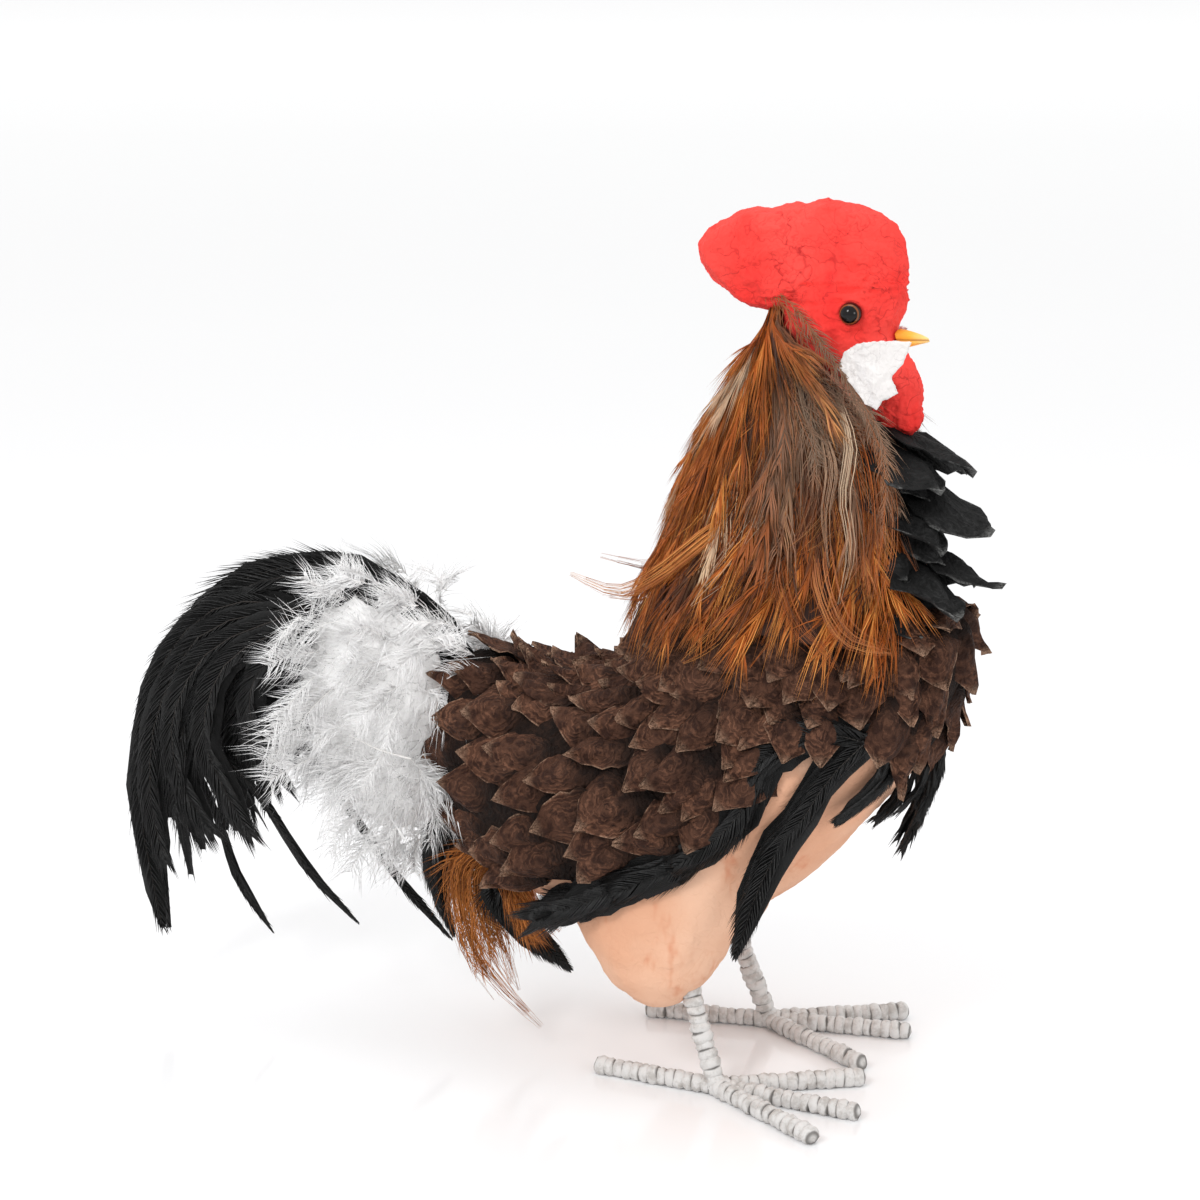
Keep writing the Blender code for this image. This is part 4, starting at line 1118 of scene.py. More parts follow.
@dataclass
class Cape:
    """Cape of neck feathers: short grey down at the top, long orange feathers below."""

    rows: int = 15
    spacing: float = 8.4
    back_rise: float = 22.0
    shortest: float = 48.0
    longest: float = 86.0
    half_width: float = 7.6
    locks: float = 0.5
    base: float = 2.0
    lift: float = 7.0
    nape: int = 26
    strand: float = 0.27
    wisps_sunk: float = 5.0
    seed: int = 5

    HEIGHT = CAPE[0][0] - CAPE[-1][0]
    DARK = ((38, 335), (16, 300), (30, 268))
    WISPS = (
        (((50, 28, 356), (60, 39, 334), (60, 49, 310), (66, 58, 288), (63, 64, 262)), 4.0, 12, 0.8, 0.2),
        (((44, 34, 342), (52, 43, 322), (52, 51, 302), (57, 60, 278)), 3.5, 10, 0.5, 0.4),
        (((18, 40, 308), (-8, 46, 287), (-34, 41, 265), (-58, 32, 252), (-86, 23, 257)), 4.6, 44, 0.05,
         0.0),
        (((4, 42, 294), (-18, 42, 271), (-38, 36, 254), (-64, 28, 248)), 4.0, 32, 0.0, 0.0),
        (((32, 44, 304), (31, 54, 277), (42, 63, 251), (64, 68, 232)), 7.0, 30, 0.05, 0.0),
        (((48, 42, 302), (52, 53, 272), (66, 62, 248), (88, 60, 240)), 6.5, 26, 0.1, 0.0),
        (((24, 44, 302), (13, 54, 273), (3, 62, 246), (-14, 66, 228)), 7.5, 30, 0.0, 0.0),
        (((14, 10, 402), (28, 19, 394), (40, 25, 380), (50, 28, 364)), 5.0, 0, 0.1, 0.45),
        (((8, 8, 403), (20, 16, 396), (30, 22, 384), (40, 27, 366)), 5.5, 0, 0.0, 0.35),
        (((26, 18, 394), (40, 25, 382), (53, 28, 366), (62, 30, 350)), 5.5, 0, 0.0, 0.85),
        (((36, 23, 384), (50, 27, 370), (62, 29, 354), (70, 31, 338)), 6.0, 0, 0.0, 0.95),
        (((48, 26, 372), (60, 28, 357), (70, 30, 342), (76, 33, 326)), 6.0, 0, 0.1, 0.95),
        (((58, 28, 360), (69, 30, 345), (76, 33, 330), (79, 37, 312)), 6.0, 0, 0.25, 0.8),
        (((66, 30, 346), (74, 33, 330), (78, 38, 312), (78, 44, 292)), 6.0, 0, 0.1, 0.5),
        (((56, 24, 346), (68, 35, 322), (74, 45, 294), (72, 55, 262)), 7.5, 28, 0.0, 0.0),
        (((66, 22, 336), (76, 33, 310), (80, 42, 284), (76, 51, 256)), 6.0, 22, 0.1, 0.0),
    )

    def spot(self, u: float, v: float) -> tuple[Array, Array]:
        """A point under the cape.

        Args:
            u: Share of the way down, past 1 for the hanging tips.
            v: Share of the way round, from the front of the right side to that of the left.

        Returns:
            The point and the way out.
        """
        inside = float(np.clip(u, 0.0, 1.0))
        z, front, flare = read_row(CAPE, CAPE[0][0] - self.HEIGHT * inside)
        turn = math.radians(-front - (360 - 2 * front) * v)
        z = z + self.back_rise * inside * (1 - math.cos(turn)) / 2
        _, back, ahead, half = read_row(NECK, z)
        deep, wide = (ahead - back) / 2 + flare, half + flare
        out = unit(np.array((wide * math.cos(turn), deep * math.sin(turn), 0.25)))
        point = np.array(((back + ahead) / 2 + deep * math.cos(turn), wide * math.sin(turn), z))
        if u < 0:
            point = point - out * 0.8 + np.array((0, 0, -u * self.HEIGHT))
        if u > 1:
            point = point + np.array((0, 0, -1.0)) * (u - 1) * self.HEIGHT + out * (u - 1) * 30
        return point, out

    def build(self) -> None:
        """Builds the feathers in two layers and the brown underlayer, a dark sheet of painted shade between
        the locks.
        """
        rng = np.random.default_rng(self.seed)
        layers = {"hackle_upper": Feathers(), "hackle_lower": Feathers()}
        for row in range(self.rows):
            u = 0.50 * row / (self.rows - 1)
            coat = layers["hackle_upper" if row < self.rows / 2 else "hackle_lower"]
            grown = min(u / 0.36, 1.0)
            length = self.shortest + (self.longest - self.shortest) * grown
            ring = [self.spot(u + 0.3 * length / self.HEIGHT, v)[0] for v in np.linspace(0, 1, 25)]
            girth = sum(np.linalg.norm(b - a) for a, b in zip(ring, ring[1:]))
            count = max(int(girth / self.spacing), 7)
            for k in range(count):
                v = (k + 0.5 + rng.uniform(-0.4, 0.4)) / count
                self.one(coat, rng, u + rng.uniform(-0.03, 0.03), v, length * rng.uniform(0.8, 1.12))
        for k in range(self.nape):
            self.one(layers["hackle_upper"], rng, 0.0, (k + 0.5) / self.nape, rng.uniform(22, 34), -0.035)
        self.wisps(layers["hackle_lower"], rng)
        for name, coat in layers.items():
            nodes = ["neck_hackle"] if name == "hackle_lower" else []
            show(name, coat.mesh(name), Finish.HACKLE, nodes)
        self.shade_lining()

    def wisps(self, coat: Feathers, rng: Rng) -> None:
        """Adds wavy cream locks, long ones that flick out, and down along the face."""
        for side in (-1, 1):
            for table, half_width, strands, pale, grey in self.WISPS:
                route = through(np.array(table, float) * (1, side, 1), 12)
                outward = np.tile(unit(np.array((0.15, float(side), 0.3))), (12, 1))
                masks = even_masks(pale, grey)
                if strands:
                    coat.lock(route, outward, half_width, strands, self.strand, rng, masks, self.wisps_sunk)
                else:
                    coat.feather(route, outward, half_width, FUZZ_CUT, rng, masks, 0.4)

    def one(self, coat: Feathers, rng: Rng, u: float, v: float, length: float, start: float = 0.0) -> None:
        """Adds one feather of the cape, its tip swept towards the back.

        Args:
            coat: Where it goes.
            rng: The source of its unevenness.
            u: Share of the way down to its root.
            v: Share of the way round.
            length: Its length, in millimetres.
            start: Added to u.
        """
        u = max(u, 0.0) + start
        behind = min(v, 1 - v) * 2
        towards = 1.0 if v < 0.5 else -1.0
        drift = rng.uniform(-0.035, 0.035)
        sweep = towards * rng.uniform(-0.03, 0.085) * (1.1 - behind) * min(u / 0.3, 1.0)
        swing, phase = rng.uniform(0.0, 0.016), rng.uniform(0, 6.28)
        flick = abs(rng.normal(0, 4.0)) * (1 - 0.8 * behind)
        hug = 1.0 - 0.7 * behind
        route, outward = [], []
        for t in np.linspace(0, 1, 9):
            at = v + drift * t + sweep * t**2.2 + swing * math.sin(5 * t + phase)
            point, out = self.spot(u + length / self.HEIGHT * t, min(max(at, -0.02), 1.02))
            lifted = self.base + self.lift * hug * t + flick * t**4
            route.append(point + out * lifted + np.array((0, 0, 1.0)) * flick * 0.5 * t**5)
            outward.append(out)
        path = np.array(route)
        x, z = path[2, 0], path[2, 2]
        taupe = float(np.clip((z - 322) / 24, 0, 1) * np.clip((x - 12) / 22, 0, 1))
        downy = taupe * rng.uniform(0.6, 1.0)
        shaded = max(math.exp(-((x - at_x) / 20) ** 2 - ((z - at_z) / 20) ** 2) for at_x, at_z in self.DARK)
        dark = rng.uniform(0.75, 1.0) if rng.uniform() < 0.3 + 0.7 * shaded else 0.0
        stripe = rng.uniform() < 0.5
        nape = x < 12 and z > 325
        cream = rng.uniform(0.5, 0.9) if rng.uniform() < 0.03 + 0.07 * (x > 40) + 0.2 * nape else 0.0

        def masks(along: Array, edge: Array) -> dict[str, Any]:
            """Dark middles, pale feathers and grey down."""
            middle = np.clip(along * 7, 0, 1) * np.clip((0.98 - along) * 3, 0, 1)
            if stripe:
                middle = middle * np.clip(1.2 - edge * 1.3, 0, 1)
            return {"dark": dark * middle * (1 - 0.6 * downy),
                    "cream": cream * np.clip(1.2 - edge * 0.4, 0, 1),
                    "down": np.clip(downy * 1.2 - along * 0.2 * downy, 0, 1)}

        soft = downy > 0.5 and rng.uniform() < 0.65
        width = self.half_width * (0.8 if length < 60 else 1.0) * rng.uniform(0.75, 1.2)
        if not soft and u > 0.06 and rng.uniform() < self.locks:
            coat.lock(path, np.array(outward), width, 13, 0.32, rng, masks)
        else:
            coat.feather(path, np.array(outward), width, FUZZ_CUT if soft else HACKLE_CUT, rng, masks)

    def shade_lining(self) -> None:
        """Adds the closed brown layer under the feathers, painted dark as the shade between the locks."""
        mould = Feathers()
        rows, columns = 22, 44
        points = two_skins(self.spot, np.linspace(0.03, 1, rows + 1), columns, (2.2, 0.9))
        # Painted shade: the dark mask at 0.8 turns the layer the deep brown of the shade between locks.
        add_sheet(mould, points, rows, columns, tone=0.2, dark=0.8, along=0.8)
        show("hackle_lining", mould.mesh("hackle_lining"), Finish.HACKLE, [])


def even_masks(cream: float, down: float) -> Masks:
    """Masks that are the same all over a feather."""

    def masks(_along: Array, _edge: Array) -> dict[str, Any]:
        """How pale and how downy it is."""
        return {"cream": cream, "down": down}

    return masks


def two_skins(spot: Callable[[float, float], tuple[Array, Array]], downs: Array, columns: int,
              offsets: Sequence[float]) -> Array:
    """The outer and the inner grid of a closed sheet.

    Args:
        spot: Gives a point and the way out for a place down and a share round.
        downs: The places down.
        columns: Cells across.
        offsets: How far out the outer grid lies, and the inner one.

    Returns:
        The points of both, row by row.
    """
    grid = [[spot(u, v) for v in np.linspace(0, 1, columns + 1)] for u in downs]
    return np.array([[[point + out * offset for point, out in row] for row in grid]
                     for offset in offsets]).reshape(-1, 3)


def add_sheet(mould: Mould, points: Array, rows: int, columns: int, **values: Any) -> None:
    """Adds a closed sheet from an outer and an inner grid.

    Args:
        mould: Where it goes.
        points: The outer grid and then the inner one, row by row.
        rows: Cells from the first row to the last.
        columns: Cells across.
        **values: Point values.
    """
    wide = columns + 1
    inner = (rows + 1) * wide
    quads = []
    for i in range(rows):
        for j in range(columns):
            a, b, c, d = i * wide + j, (i + 1) * wide + j, (i + 1) * wide + j + 1, i * wide + j + 1
            quads.append((a, b, c, d))
            quads.append((inner + d, inner + c, inner + b, inner + a))
    rim = [i * wide for i in range(rows + 1)]
    rim += [rows * wide + j for j in range(1, wide)]
    rim += [i * wide + columns for i in range(rows - 1, -1, -1)]
    rim += list(range(columns - 1, 0, -1))
    for a, b in zip(rim, rim[1:] + rim[:1]):
        quads.append((a, inner + a, inner + b, b))
    mould.add(points, (), quads, **values)


class Leaves(Mould):
    """A mould that paper leaves are added to."""

    ALONG = 10
    ACROSS = 8
    OUTLINE = ((0.0, 0.45), (0.2, 0.85), (0.42, 1.0), (0.62, 0.9), (0.8, 0.58), (0.92, 0.25), (1.0, 0.04))
    WRINKLES = ((1.0, 10.0, 2.2), (0.7, 5.0, 6.0), (0.5, -14.0, 11.0))

    def __init__(self) -> None:
        """Starts with the values that the leaf paper reads."""
        super().__init__(("tone", "along", "edge", "ring"))

    def leaf(self, route: Array, outward: Array, half_width: float, rng: Rng,
             cup: float, curl: float, roll: float, thick: float, rough: float, ridge: float) -> None:
        """Adds one leaf.

        Args:
            route: Its middle line from root to tip.
            outward: The way off the body along it.
            half_width: Half of its width at the widest.
            rng: The source of its unevenness.
            cup: How much the sides drop, as a share of the half width.
            curl: How far the tip turns up, in millimetres.
            roll: How far the side edges may turn up, in millimetres.
            thick: Thickness of the paper, in millimetres.
            rough: Height of its wrinkles, in millimetres.
            ridge: Height of the fold along its middle, in millimetres.
        """
        grid = np.linspace(0, 1, len(route))
        shares = np.linspace(0, 1, self.ALONG + 1)

        def read(table: Array) -> Array:
            """Reads a table of vectors at the leaf's rows."""
            return np.stack([np.interp(shares, grid, table[:, k]) for k in range(3)], 1)

        middle = read(route)
        out = unit(read(outward))
        ahead = unit(np.gradient(middle, axis=0))
        out = unit(out - ahead * np.sum(out * ahead, 1, keepdims=True))
        across = np.cross(out, ahead)
        v = np.linspace(-1, 1, self.ACROSS + 1)
        xs, ys = zip(*self.OUTLINE)
        half = half_width * np.interp(shares ** rng.uniform(0.8, 1.25), xs, ys)
        uneven = 1 + rng.normal(0, 0.06, (self.ALONG + 1, 2))
        side = np.where(v[None] < 0, uneven[:, :1], uneven[:, 1:]) * v[None] * half[:, None]
        length = float(np.linalg.norm(np.diff(middle, axis=0), axis=1).sum())
        skew = rng.normal(0, 0.10) * length
        rise = -cup * side**2 / half_width + rng.normal(0, 0.12) * side
        rolls = rng.uniform(size=2) < 0.3
        rolled = np.where(rolls, rng.uniform(0.6, 1.6, 2), rng.uniform(-0.1, 0.3, 2)) * roll
        lip = np.clip((np.abs(v) - 0.5) / 0.5, 0, 1) ** 2
        belly = np.sin(shares * math.pi)[:, None]
        rise = rise + np.where(v < 0, rolled[0], rolled[1])[None] * lip[None] * belly
        turned = curl * (rng.uniform(1.6, 2.8) if rng.uniform() < 0.25 else rng.uniform(-0.3, 0.8))
        rise = rise + turned * np.clip((shares - 0.7) / 0.3, 0, 1)[:, None] ** 2
        fold = np.clip(1 - np.abs(v - rng.uniform(-0.35, 0.35)) * 1.3, 0, 1)
        rise = rise + ridge * rng.uniform(0.2, 1.3) * fold[None] * belly
        wave = rng.uniform(0, 6.28, 4)
        down = shares[:, None]
        for k, (height, ahead_waves, side_waves) in enumerate(self.WRINKLES):
            rise = rise + rough * height * np.sin(down * ahead_waves + v[None] * side_waves + wave[k])
        side_shift = side + skew * down**2 * (1 - down)
        sheet = middle[:, None] + across[:, None] * side_shift[..., None] + out[:, None] * rise[..., None]
        lower = sheet - out[:, None] * thick
        points = np.concatenate([sheet.reshape(-1, 3), lower.reshape(-1, 3)])
        span = np.hypot((down - 0.58) * length, side * 1.2 + rng.normal(0, 1.5)).ravel()
        add_sheet(self, points, self.ALONG, self.ACROSS, tone=rng.uniform(),
                  along=np.tile(np.repeat(shares, self.ACROSS + 1), 2),
                  edge=np.tile(np.abs(v), 2 * (self.ALONG + 1)), ring=np.tile(span, 2))


class Surface:
    """The carved body that leaves and feathers lie on."""

    def __init__(self) -> None:
        """Reads the body's solid."""
        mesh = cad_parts["body_core"].data
        points = mesh_points(mesh)
        faces = [tuple(polygon.vertices) for polygon in mesh.polygons]
        self.tree = BVHTree.FromPolygons([Vector(p) for p in points], faces)

    def hit(self, start: Array, way: Array) -> Array | None:
        """The last point of the body along a ray from inside it, or None."""
        found = self.tree.ray_cast(Vector(start), Vector(way))[0]
        return None if found is None else np.array(found)

    def near(self, point: Array) -> tuple[Array, Array]:
        """The nearest point of the body and its normal."""
        found, normal, *_ = self.tree.find_nearest(Vector(point))
        return np.array(found), np.array(normal)


COAT_TOP = (
    (96, 0, 252), (80, 34, 248), (40, 54, 244), (0, 56, 243), (-36, 36, 246), (-52, 0, 250),
)
COAT_EDGE = (
    (98, 0, 168), (92, 22, 175), (78, 42, 185), (60, 54, 191), (44, 60, 188), (28, 63, 176),
    (12, 64, 156), (-8, 65, 137), (-30, 65, 119), (-60, 62, 104), (-91, 55, 92), (-122, 44, 86),
    (-144, 34, 100), (-154, 28, 130), (-156, 26, 162), (-152, 22, 192), (-148, 0, 212),
)
COAT_AXIS = ((-118, 0, 158), (62, 0, 200))


@dataclass
class Coat:
    """Coat of brown paper leaves that point back along the flanks and down at the breast."""

    surface: Surface
    pitch: float = 17.8
    least_gap: float = 9.5
    columns: int = 28
    length: float = 39.0
    half_width: float = 14.5
    base: float = 2.6
    lift: float = 9.5
    seed: int = 11

    FLOW = ((-120, 6.0), (-60, 24.0), (0, 46.0), (50, 68.0), (90, 92.0))

    def __post_init__(self) -> None:
        """Reads the two loops that the coat runs between."""
        self.top = through(COAT_TOP, 41)
        self.edge = through(COAT_EDGE, 41)
        self.known: dict[tuple[float, float], Array] = {}

    def spot(self, u: float, v: float) -> Array:
        """A point of the body, u down from the neck and v round from the breast."""
        key = (round(u, 5), round(v % 1.0, 5))
        if key in self.known:
            return self.known[key]
        u, v = key
        half = abs(2 * v - 1)
        mirror = np.array((1.0, -1.0 if v < 0.5 else 1.0, 1.0))
        at = (1 - half) * 40
        low = min(int(at), 39)
        top, edge = [(rows[low] + (rows[low + 1] - rows[low]) * (at - low)) * mirror
                     for rows in (self.top, self.edge)]
        target = top + (edge - top) * u
        start, end = np.array(COAT_AXIS, float)
        share = float(np.clip(np.dot(target - start, end - start) / np.dot(end - start, end - start), 0, 1))
        origin = start + (end - start) * share
        found = self.surface.hit(origin, target - origin)
        self.known[key] = target if found is None else found
        return self.known[key]

    def out(self, u: float, v: float) -> Array:
        """The way off the body, evened over the neighbourhood."""
        low, high = max(u - 0.06, 0.0), min(u + 0.06, 1.0)
        down = self.spot(high, v) - self.spot(low, v)
        across = self.spot(u, v - 0.02) - self.spot(u, v + 0.02)
        return unit(np.cross(down, across))

    def march(self, start: Array, turn: float, step: float, count: int) -> tuple[list[Any], list[Any]]:
        """Walks over the body the way that the leaves point there.

        Args:
            start: Where the walk starts.
            turn: How far it turns off that way, in radians.
            step: Length of a step, negative to walk towards the roots.
            count: How many steps.

        Returns:
            The points and the ways off the body at them.
        """
        places, normals = [], []
        point = start
        for _ in range(count + 1):
            point, normal = self.surface.near(point)
            places.append(point)
            normals.append(normal)
            xs, degrees = zip(*self.FLOW)
            angle = math.radians(float(np.interp(point[0], xs, degrees)))
            way = np.array((-math.cos(angle), 0.0, -math.sin(angle)))
            way = way - normal * float(way @ normal)
            if np.linalg.norm(way) < 0.35:
                way = way + np.array((0, 0, -0.5))
                way = way - normal * float(way @ normal)
            way = unit(way)
            way = way * math.cos(turn) + np.cross(normal, way) * math.sin(turn)
            point = point + way * step
        return places, normals

    def build(self) -> None:
        """Builds the leaves and the dark layer of painted shade under them."""
        rng = np.random.default_rng(self.seed)
        leaves = Leaves()
        for k in range(self.columns):
            line = np.array([self.spot(u, k / self.columns) for u in np.linspace(0, 1, 25)])
            rows = max(round(float(np.linalg.norm(np.diff(line, axis=0), axis=1).sum()) / self.pitch), 3)
            for row in range(rows):
                v = (k + rng.uniform(-0.32, 0.32)) / self.columns
                u = (row + 0.1 + 0.5 * (k % 2) + rng.uniform(-0.26, 0.26)) / (rows + 0.25)
                gap = np.linalg.norm(self.spot(u, (k + 1) / self.columns) - self.spot(u, k / self.columns))
                if k % 2 and gap < self.least_gap:
                    continue
                self.one(leaves, rng, self.spot(max(u, 0.0), v))
        mesh = leaves.mesh("coat_leaves")
        show("coat_leaves", mesh, Finish.BROWN_PAPER, ["body_leaves"], FOLD_ANGLE)
        self.shade_lining()

    def one(self, leaves: Leaves, rng: Rng, place: Array) -> None:
        """Adds one leaf round a place of the body."""
        length = self.length * rng.uniform(0.88, 1.15)
        turn = rng.normal(0, 0.24)
        back, back_normals = self.march(place, turn, -length * 0.45 / 3, 3)
        ahead, ahead_normals = self.march(place, turn, length * 0.55 / 3, 3)
        path = np.array(back[:0:-1] + ahead)
        normals = np.array(back_normals[:0:-1] + ahead_normals)
        normals = unit(normals + normals.mean(0) * 1.5)
        t = np.linspace(0, 1, len(path))[:, None]
        path = path + normals * (self.base + self.lift * rng.uniform(0.55, 1.15) * t**1.3)
        half_width = self.half_width * rng.uniform(0.82, 1.18)
        leaves.leaf(path, normals, half_width, rng, cup=rng.uniform(0.35, 0.85), curl=2.4, roll=3.2,
                    thick=0.5, rough=0.9, ridge=3.0)

    def shade_lining(self) -> None:
        """Adds the closed dark layer under the leaves, painted shade that shows between them."""
        mould = Leaves()
        rows, columns = 26, 96

        def place(u: float, v: float) -> tuple[Array, Array]:
            """A point of the body and the way off it."""
            return self.spot(u, v), self.out(u, v)

        points = two_skins(place, np.linspace(0, 1, rows + 1), columns, (2.6, 0.8))
        # With along left at 0 the layer takes the leaf paper's painted root shade almost fully.
        add_sheet(mould, points, rows, columns, tone=0.3)
        mesh = mould.mesh("coat_lining")
        face_out(mesh)
        show("coat_lining", mesh, Finish.BROWN_PAPER, [])


@dataclass
class Throat:
    """Black paper leaves that stand out from the front of the neck."""

    rows: tuple[tuple[float, float, float, int, float], ...] = (
        (316, 51, 24, 3, 20.0), (301, 26, 34, 4, 15.0), (287, 45, 26, 3, 21.0), (272, 25, 34, 4, 15.0),
        (258, 46, 26, 3, 21.0), (244, 24, 32, 4, 15.0),
    )
    drop: float = 27.0
    seed: int = 21

    def build(self) -> None:
        """Builds the leaves and the pad under them."""
        rng = np.random.default_rng(self.seed)
        leaves = Leaves()
        for z, out, half_turn, count, half_width in self.rows:
            for k in range(count):
                turn = math.radians(half_turn * (2 * k / (count - 1) - 1) + rng.uniform(-4, 4))
                way = np.array((math.cos(turn), math.sin(turn), 0.0))
                _, back, front, half = read_row(NECK, z + self.drop)
                deep = (front - back) / 2 + 1.5
                root = np.array(((back + front) / 2 + deep * math.cos(turn), half * math.sin(turn),
                                 z + self.drop * 0.8))
                reach = way * out * (1 - 0.25 * abs(math.sin(turn))) * rng.uniform(0.85, 1.04)
                sag = np.array((0, 0, 0.0 if k % 2 else -5.0))
                fall = np.array((0, 0, -self.drop))
                path = np.array([root, root + reach * 0.35 + fall * 0.12 + sag,
                                 root + reach * 0.72 + fall * 0.5 + sag, root + reach + fall * 0.8 + sag])
                face = unit(way * 0.6 + np.array((0, 0, 1.0)))
                leaves.leaf(through(path, 6), np.tile(face, (6, 1)), half_width, rng, cup=0.3, curl=2.0,
                            roll=4.0, thick=0.6, rough=1.3, ridge=2.0)
        mesh = leaves.mesh("throat_paper")
        show("throat_paper", mesh, Finish.BLACK_PAPER, ["throat_leaves"], FOLD_ANGLE)
        pad = Leaves()
        rows, columns = 10, 12
        grids = []
        for offset in (4.6, 1.4):
            grid = []
            for z in np.linspace(340, 246, rows + 1):
                _, back, front, half = read_row(NECK, z)
                turns = np.radians(np.linspace(-36, 36, columns + 1) * (0.6 + 0.4 * (340 - z) / 94))
                grid.append([((back + front) / 2 + ((front - back) / 2 + offset) * math.cos(t),
                              (half + offset) * math.sin(t), z) for t in turns])
            grids.append(grid)
        # along 0.3 gives the pad most of the leaf paper's painted root shade.
        add_sheet(pad, np.array(grids).reshape(-1, 3), rows, columns, tone=0.4, along=0.3)
        show("throat_pad", pad.mesh("throat_pad"), Finish.BLACK_PAPER, [])


PLUME_OUTER = ((-146, 200), (-215, 290), (-378, 254), (-329, 38))
PLUME_INNER = ((-148, 160), (-192, 206), (-256, 190), (-252, 118))


@dataclass
class Tail:
    """Main tail feathers in one bunch, arching up and falling."""

    feathers: int = 40
    spread: float = 26.0
    half_width: float = 13.0
    seed: int = 8

    ENDS = (
        (((-238, 226), (-288, 222), (-326, 182), (-340, 110), (-329, 37)), -12.0, 9.0),
        (((-240, 222), (-292, 214), (-328, 168), (-344, 116), (-338, 84)), -4.0, 8.0),
        (((-240, 226), (-296, 208), (-326, 160), (-332, 112), (-324, 76)), -15.0, 9.0),
        (((-244, 222), (-290, 200), (-314, 160), (-310, 124), (-292, 98)), -20.0, 10.0),
        (((-240, 218), (-278, 196), (-294, 160), (-286, 130), (-268, 100)), -23.0, 10.0),
        (((-232, 214), (-260, 192), (-266, 168), (-258, 148), (-250, 132)), -24.0, 9.0),
        (((-240, 222), (-292, 195), (-306, 160), (-298, 124), (-286, 100)), 18.0, 10.0),
        (((-240, 226), (-304, 200), (-330, 150), (-330, 110), (-318, 84)), 12.0, 10.0),
    )

    def build(self) -> None:
        """Builds the bunch."""
        rng = np.random.default_rng(self.seed)
        bunch = Feathers()
        outer = np.array(PLUME_OUTER, float)
        inner = np.array(PLUME_INNER, float)
        for k in range(self.feathers):
            depth = (k + 0.3) / self.feathers
            side = 1 if k % 2 else -1
            fan = 0.35 + 0.65 * math.sin(math.pi * min(depth + 0.2, 1))
            sway = self.spread * rng.uniform(0.05, 1.0) * side * fan
            curve = outer + (inner - outer) * depth
            share = 1.0 if k == 0 else rng.uniform(0.72, 0.99)
            t = np.linspace(0.02, share, 14)[:, None]
            s = 1 - t
            flat = curve[0] * s**3 + curve[1] * 3 * s * s * t + curve[2] * 3 * s * t * t + curve[3] * t**3
            y = sway * (0.15 + 0.85 * t[:, 0] ** 1.5) + rng.normal(0, 1.5)
            route = np.stack([flat[:, 0], y, flat[:, 1]], 1)
            route[1:] += np.cumsum(rng.normal(0, 0.5, (13, 3)), 0)
            tangent = unit(np.gradient(route, axis=0))
            face = np.array((0.15 * rng.normal(), side, 0.35 + 0.2 * rng.normal()))
            outward = unit(np.tile(face, (14, 1)) - tangent * (tangent @ face)[:, None])
            bunch.feather(route, outward, self.half_width * rng.uniform(0.65, 1.05), TAIL_CUT, rng)
        for points, y, half_width in self.ENDS:
            outward = np.tile(unit(np.array((0.2, -1.0 if y < 0 else 1.0, 0.2))), (12, 1))
            bunch.feather(flat_route(points, y), outward, half_width, TAIL_CUT, rng)
        mesh = bunch.mesh("tail_feathers")
        show("tail_feathers", mesh, Finish.BLACK_FEATHER, ["tail_plume"])


SICKLES = (
    ((-262, 172), (-258, 145), (-232, 112), (-199, 70), (-169, 40)),
    ((-300, 176), (-292, 146), (-266, 119), (-240, 82), (-210, 54)),
    ((-322, 152), (-312, 122), (-300, 93), (-290, 65), (-270, 36)),
)
SICKLE_SIDES = (16, -14, 4)


@dataclass
class Sickles:
    """Slim feathers that hang free of the bunch."""

    half_width: float = 3.6
    seed: int = 31

    def build(self) -> None:
        """Builds each feather as a piece of its own."""
        rng = np.random.default_rng(self.seed)
        for k, (curve, y) in enumerate(zip(SICKLES, SICKLE_SIDES)):
            outward = np.tile(unit(np.array((0.1, -1.0, 0.15))), (12, 1))
            feather = Feathers()
            feather.feather(flat_route(curve, y), outward, self.half_width, SICKLE_CUT, rng)
            name = f"sickle_{k + 1}_barbs"
            nodes = [f"sickle_feather_{k + 1}"]
            show(name, feather.mesh(name), Finish.BLACK_FEATHER, nodes)


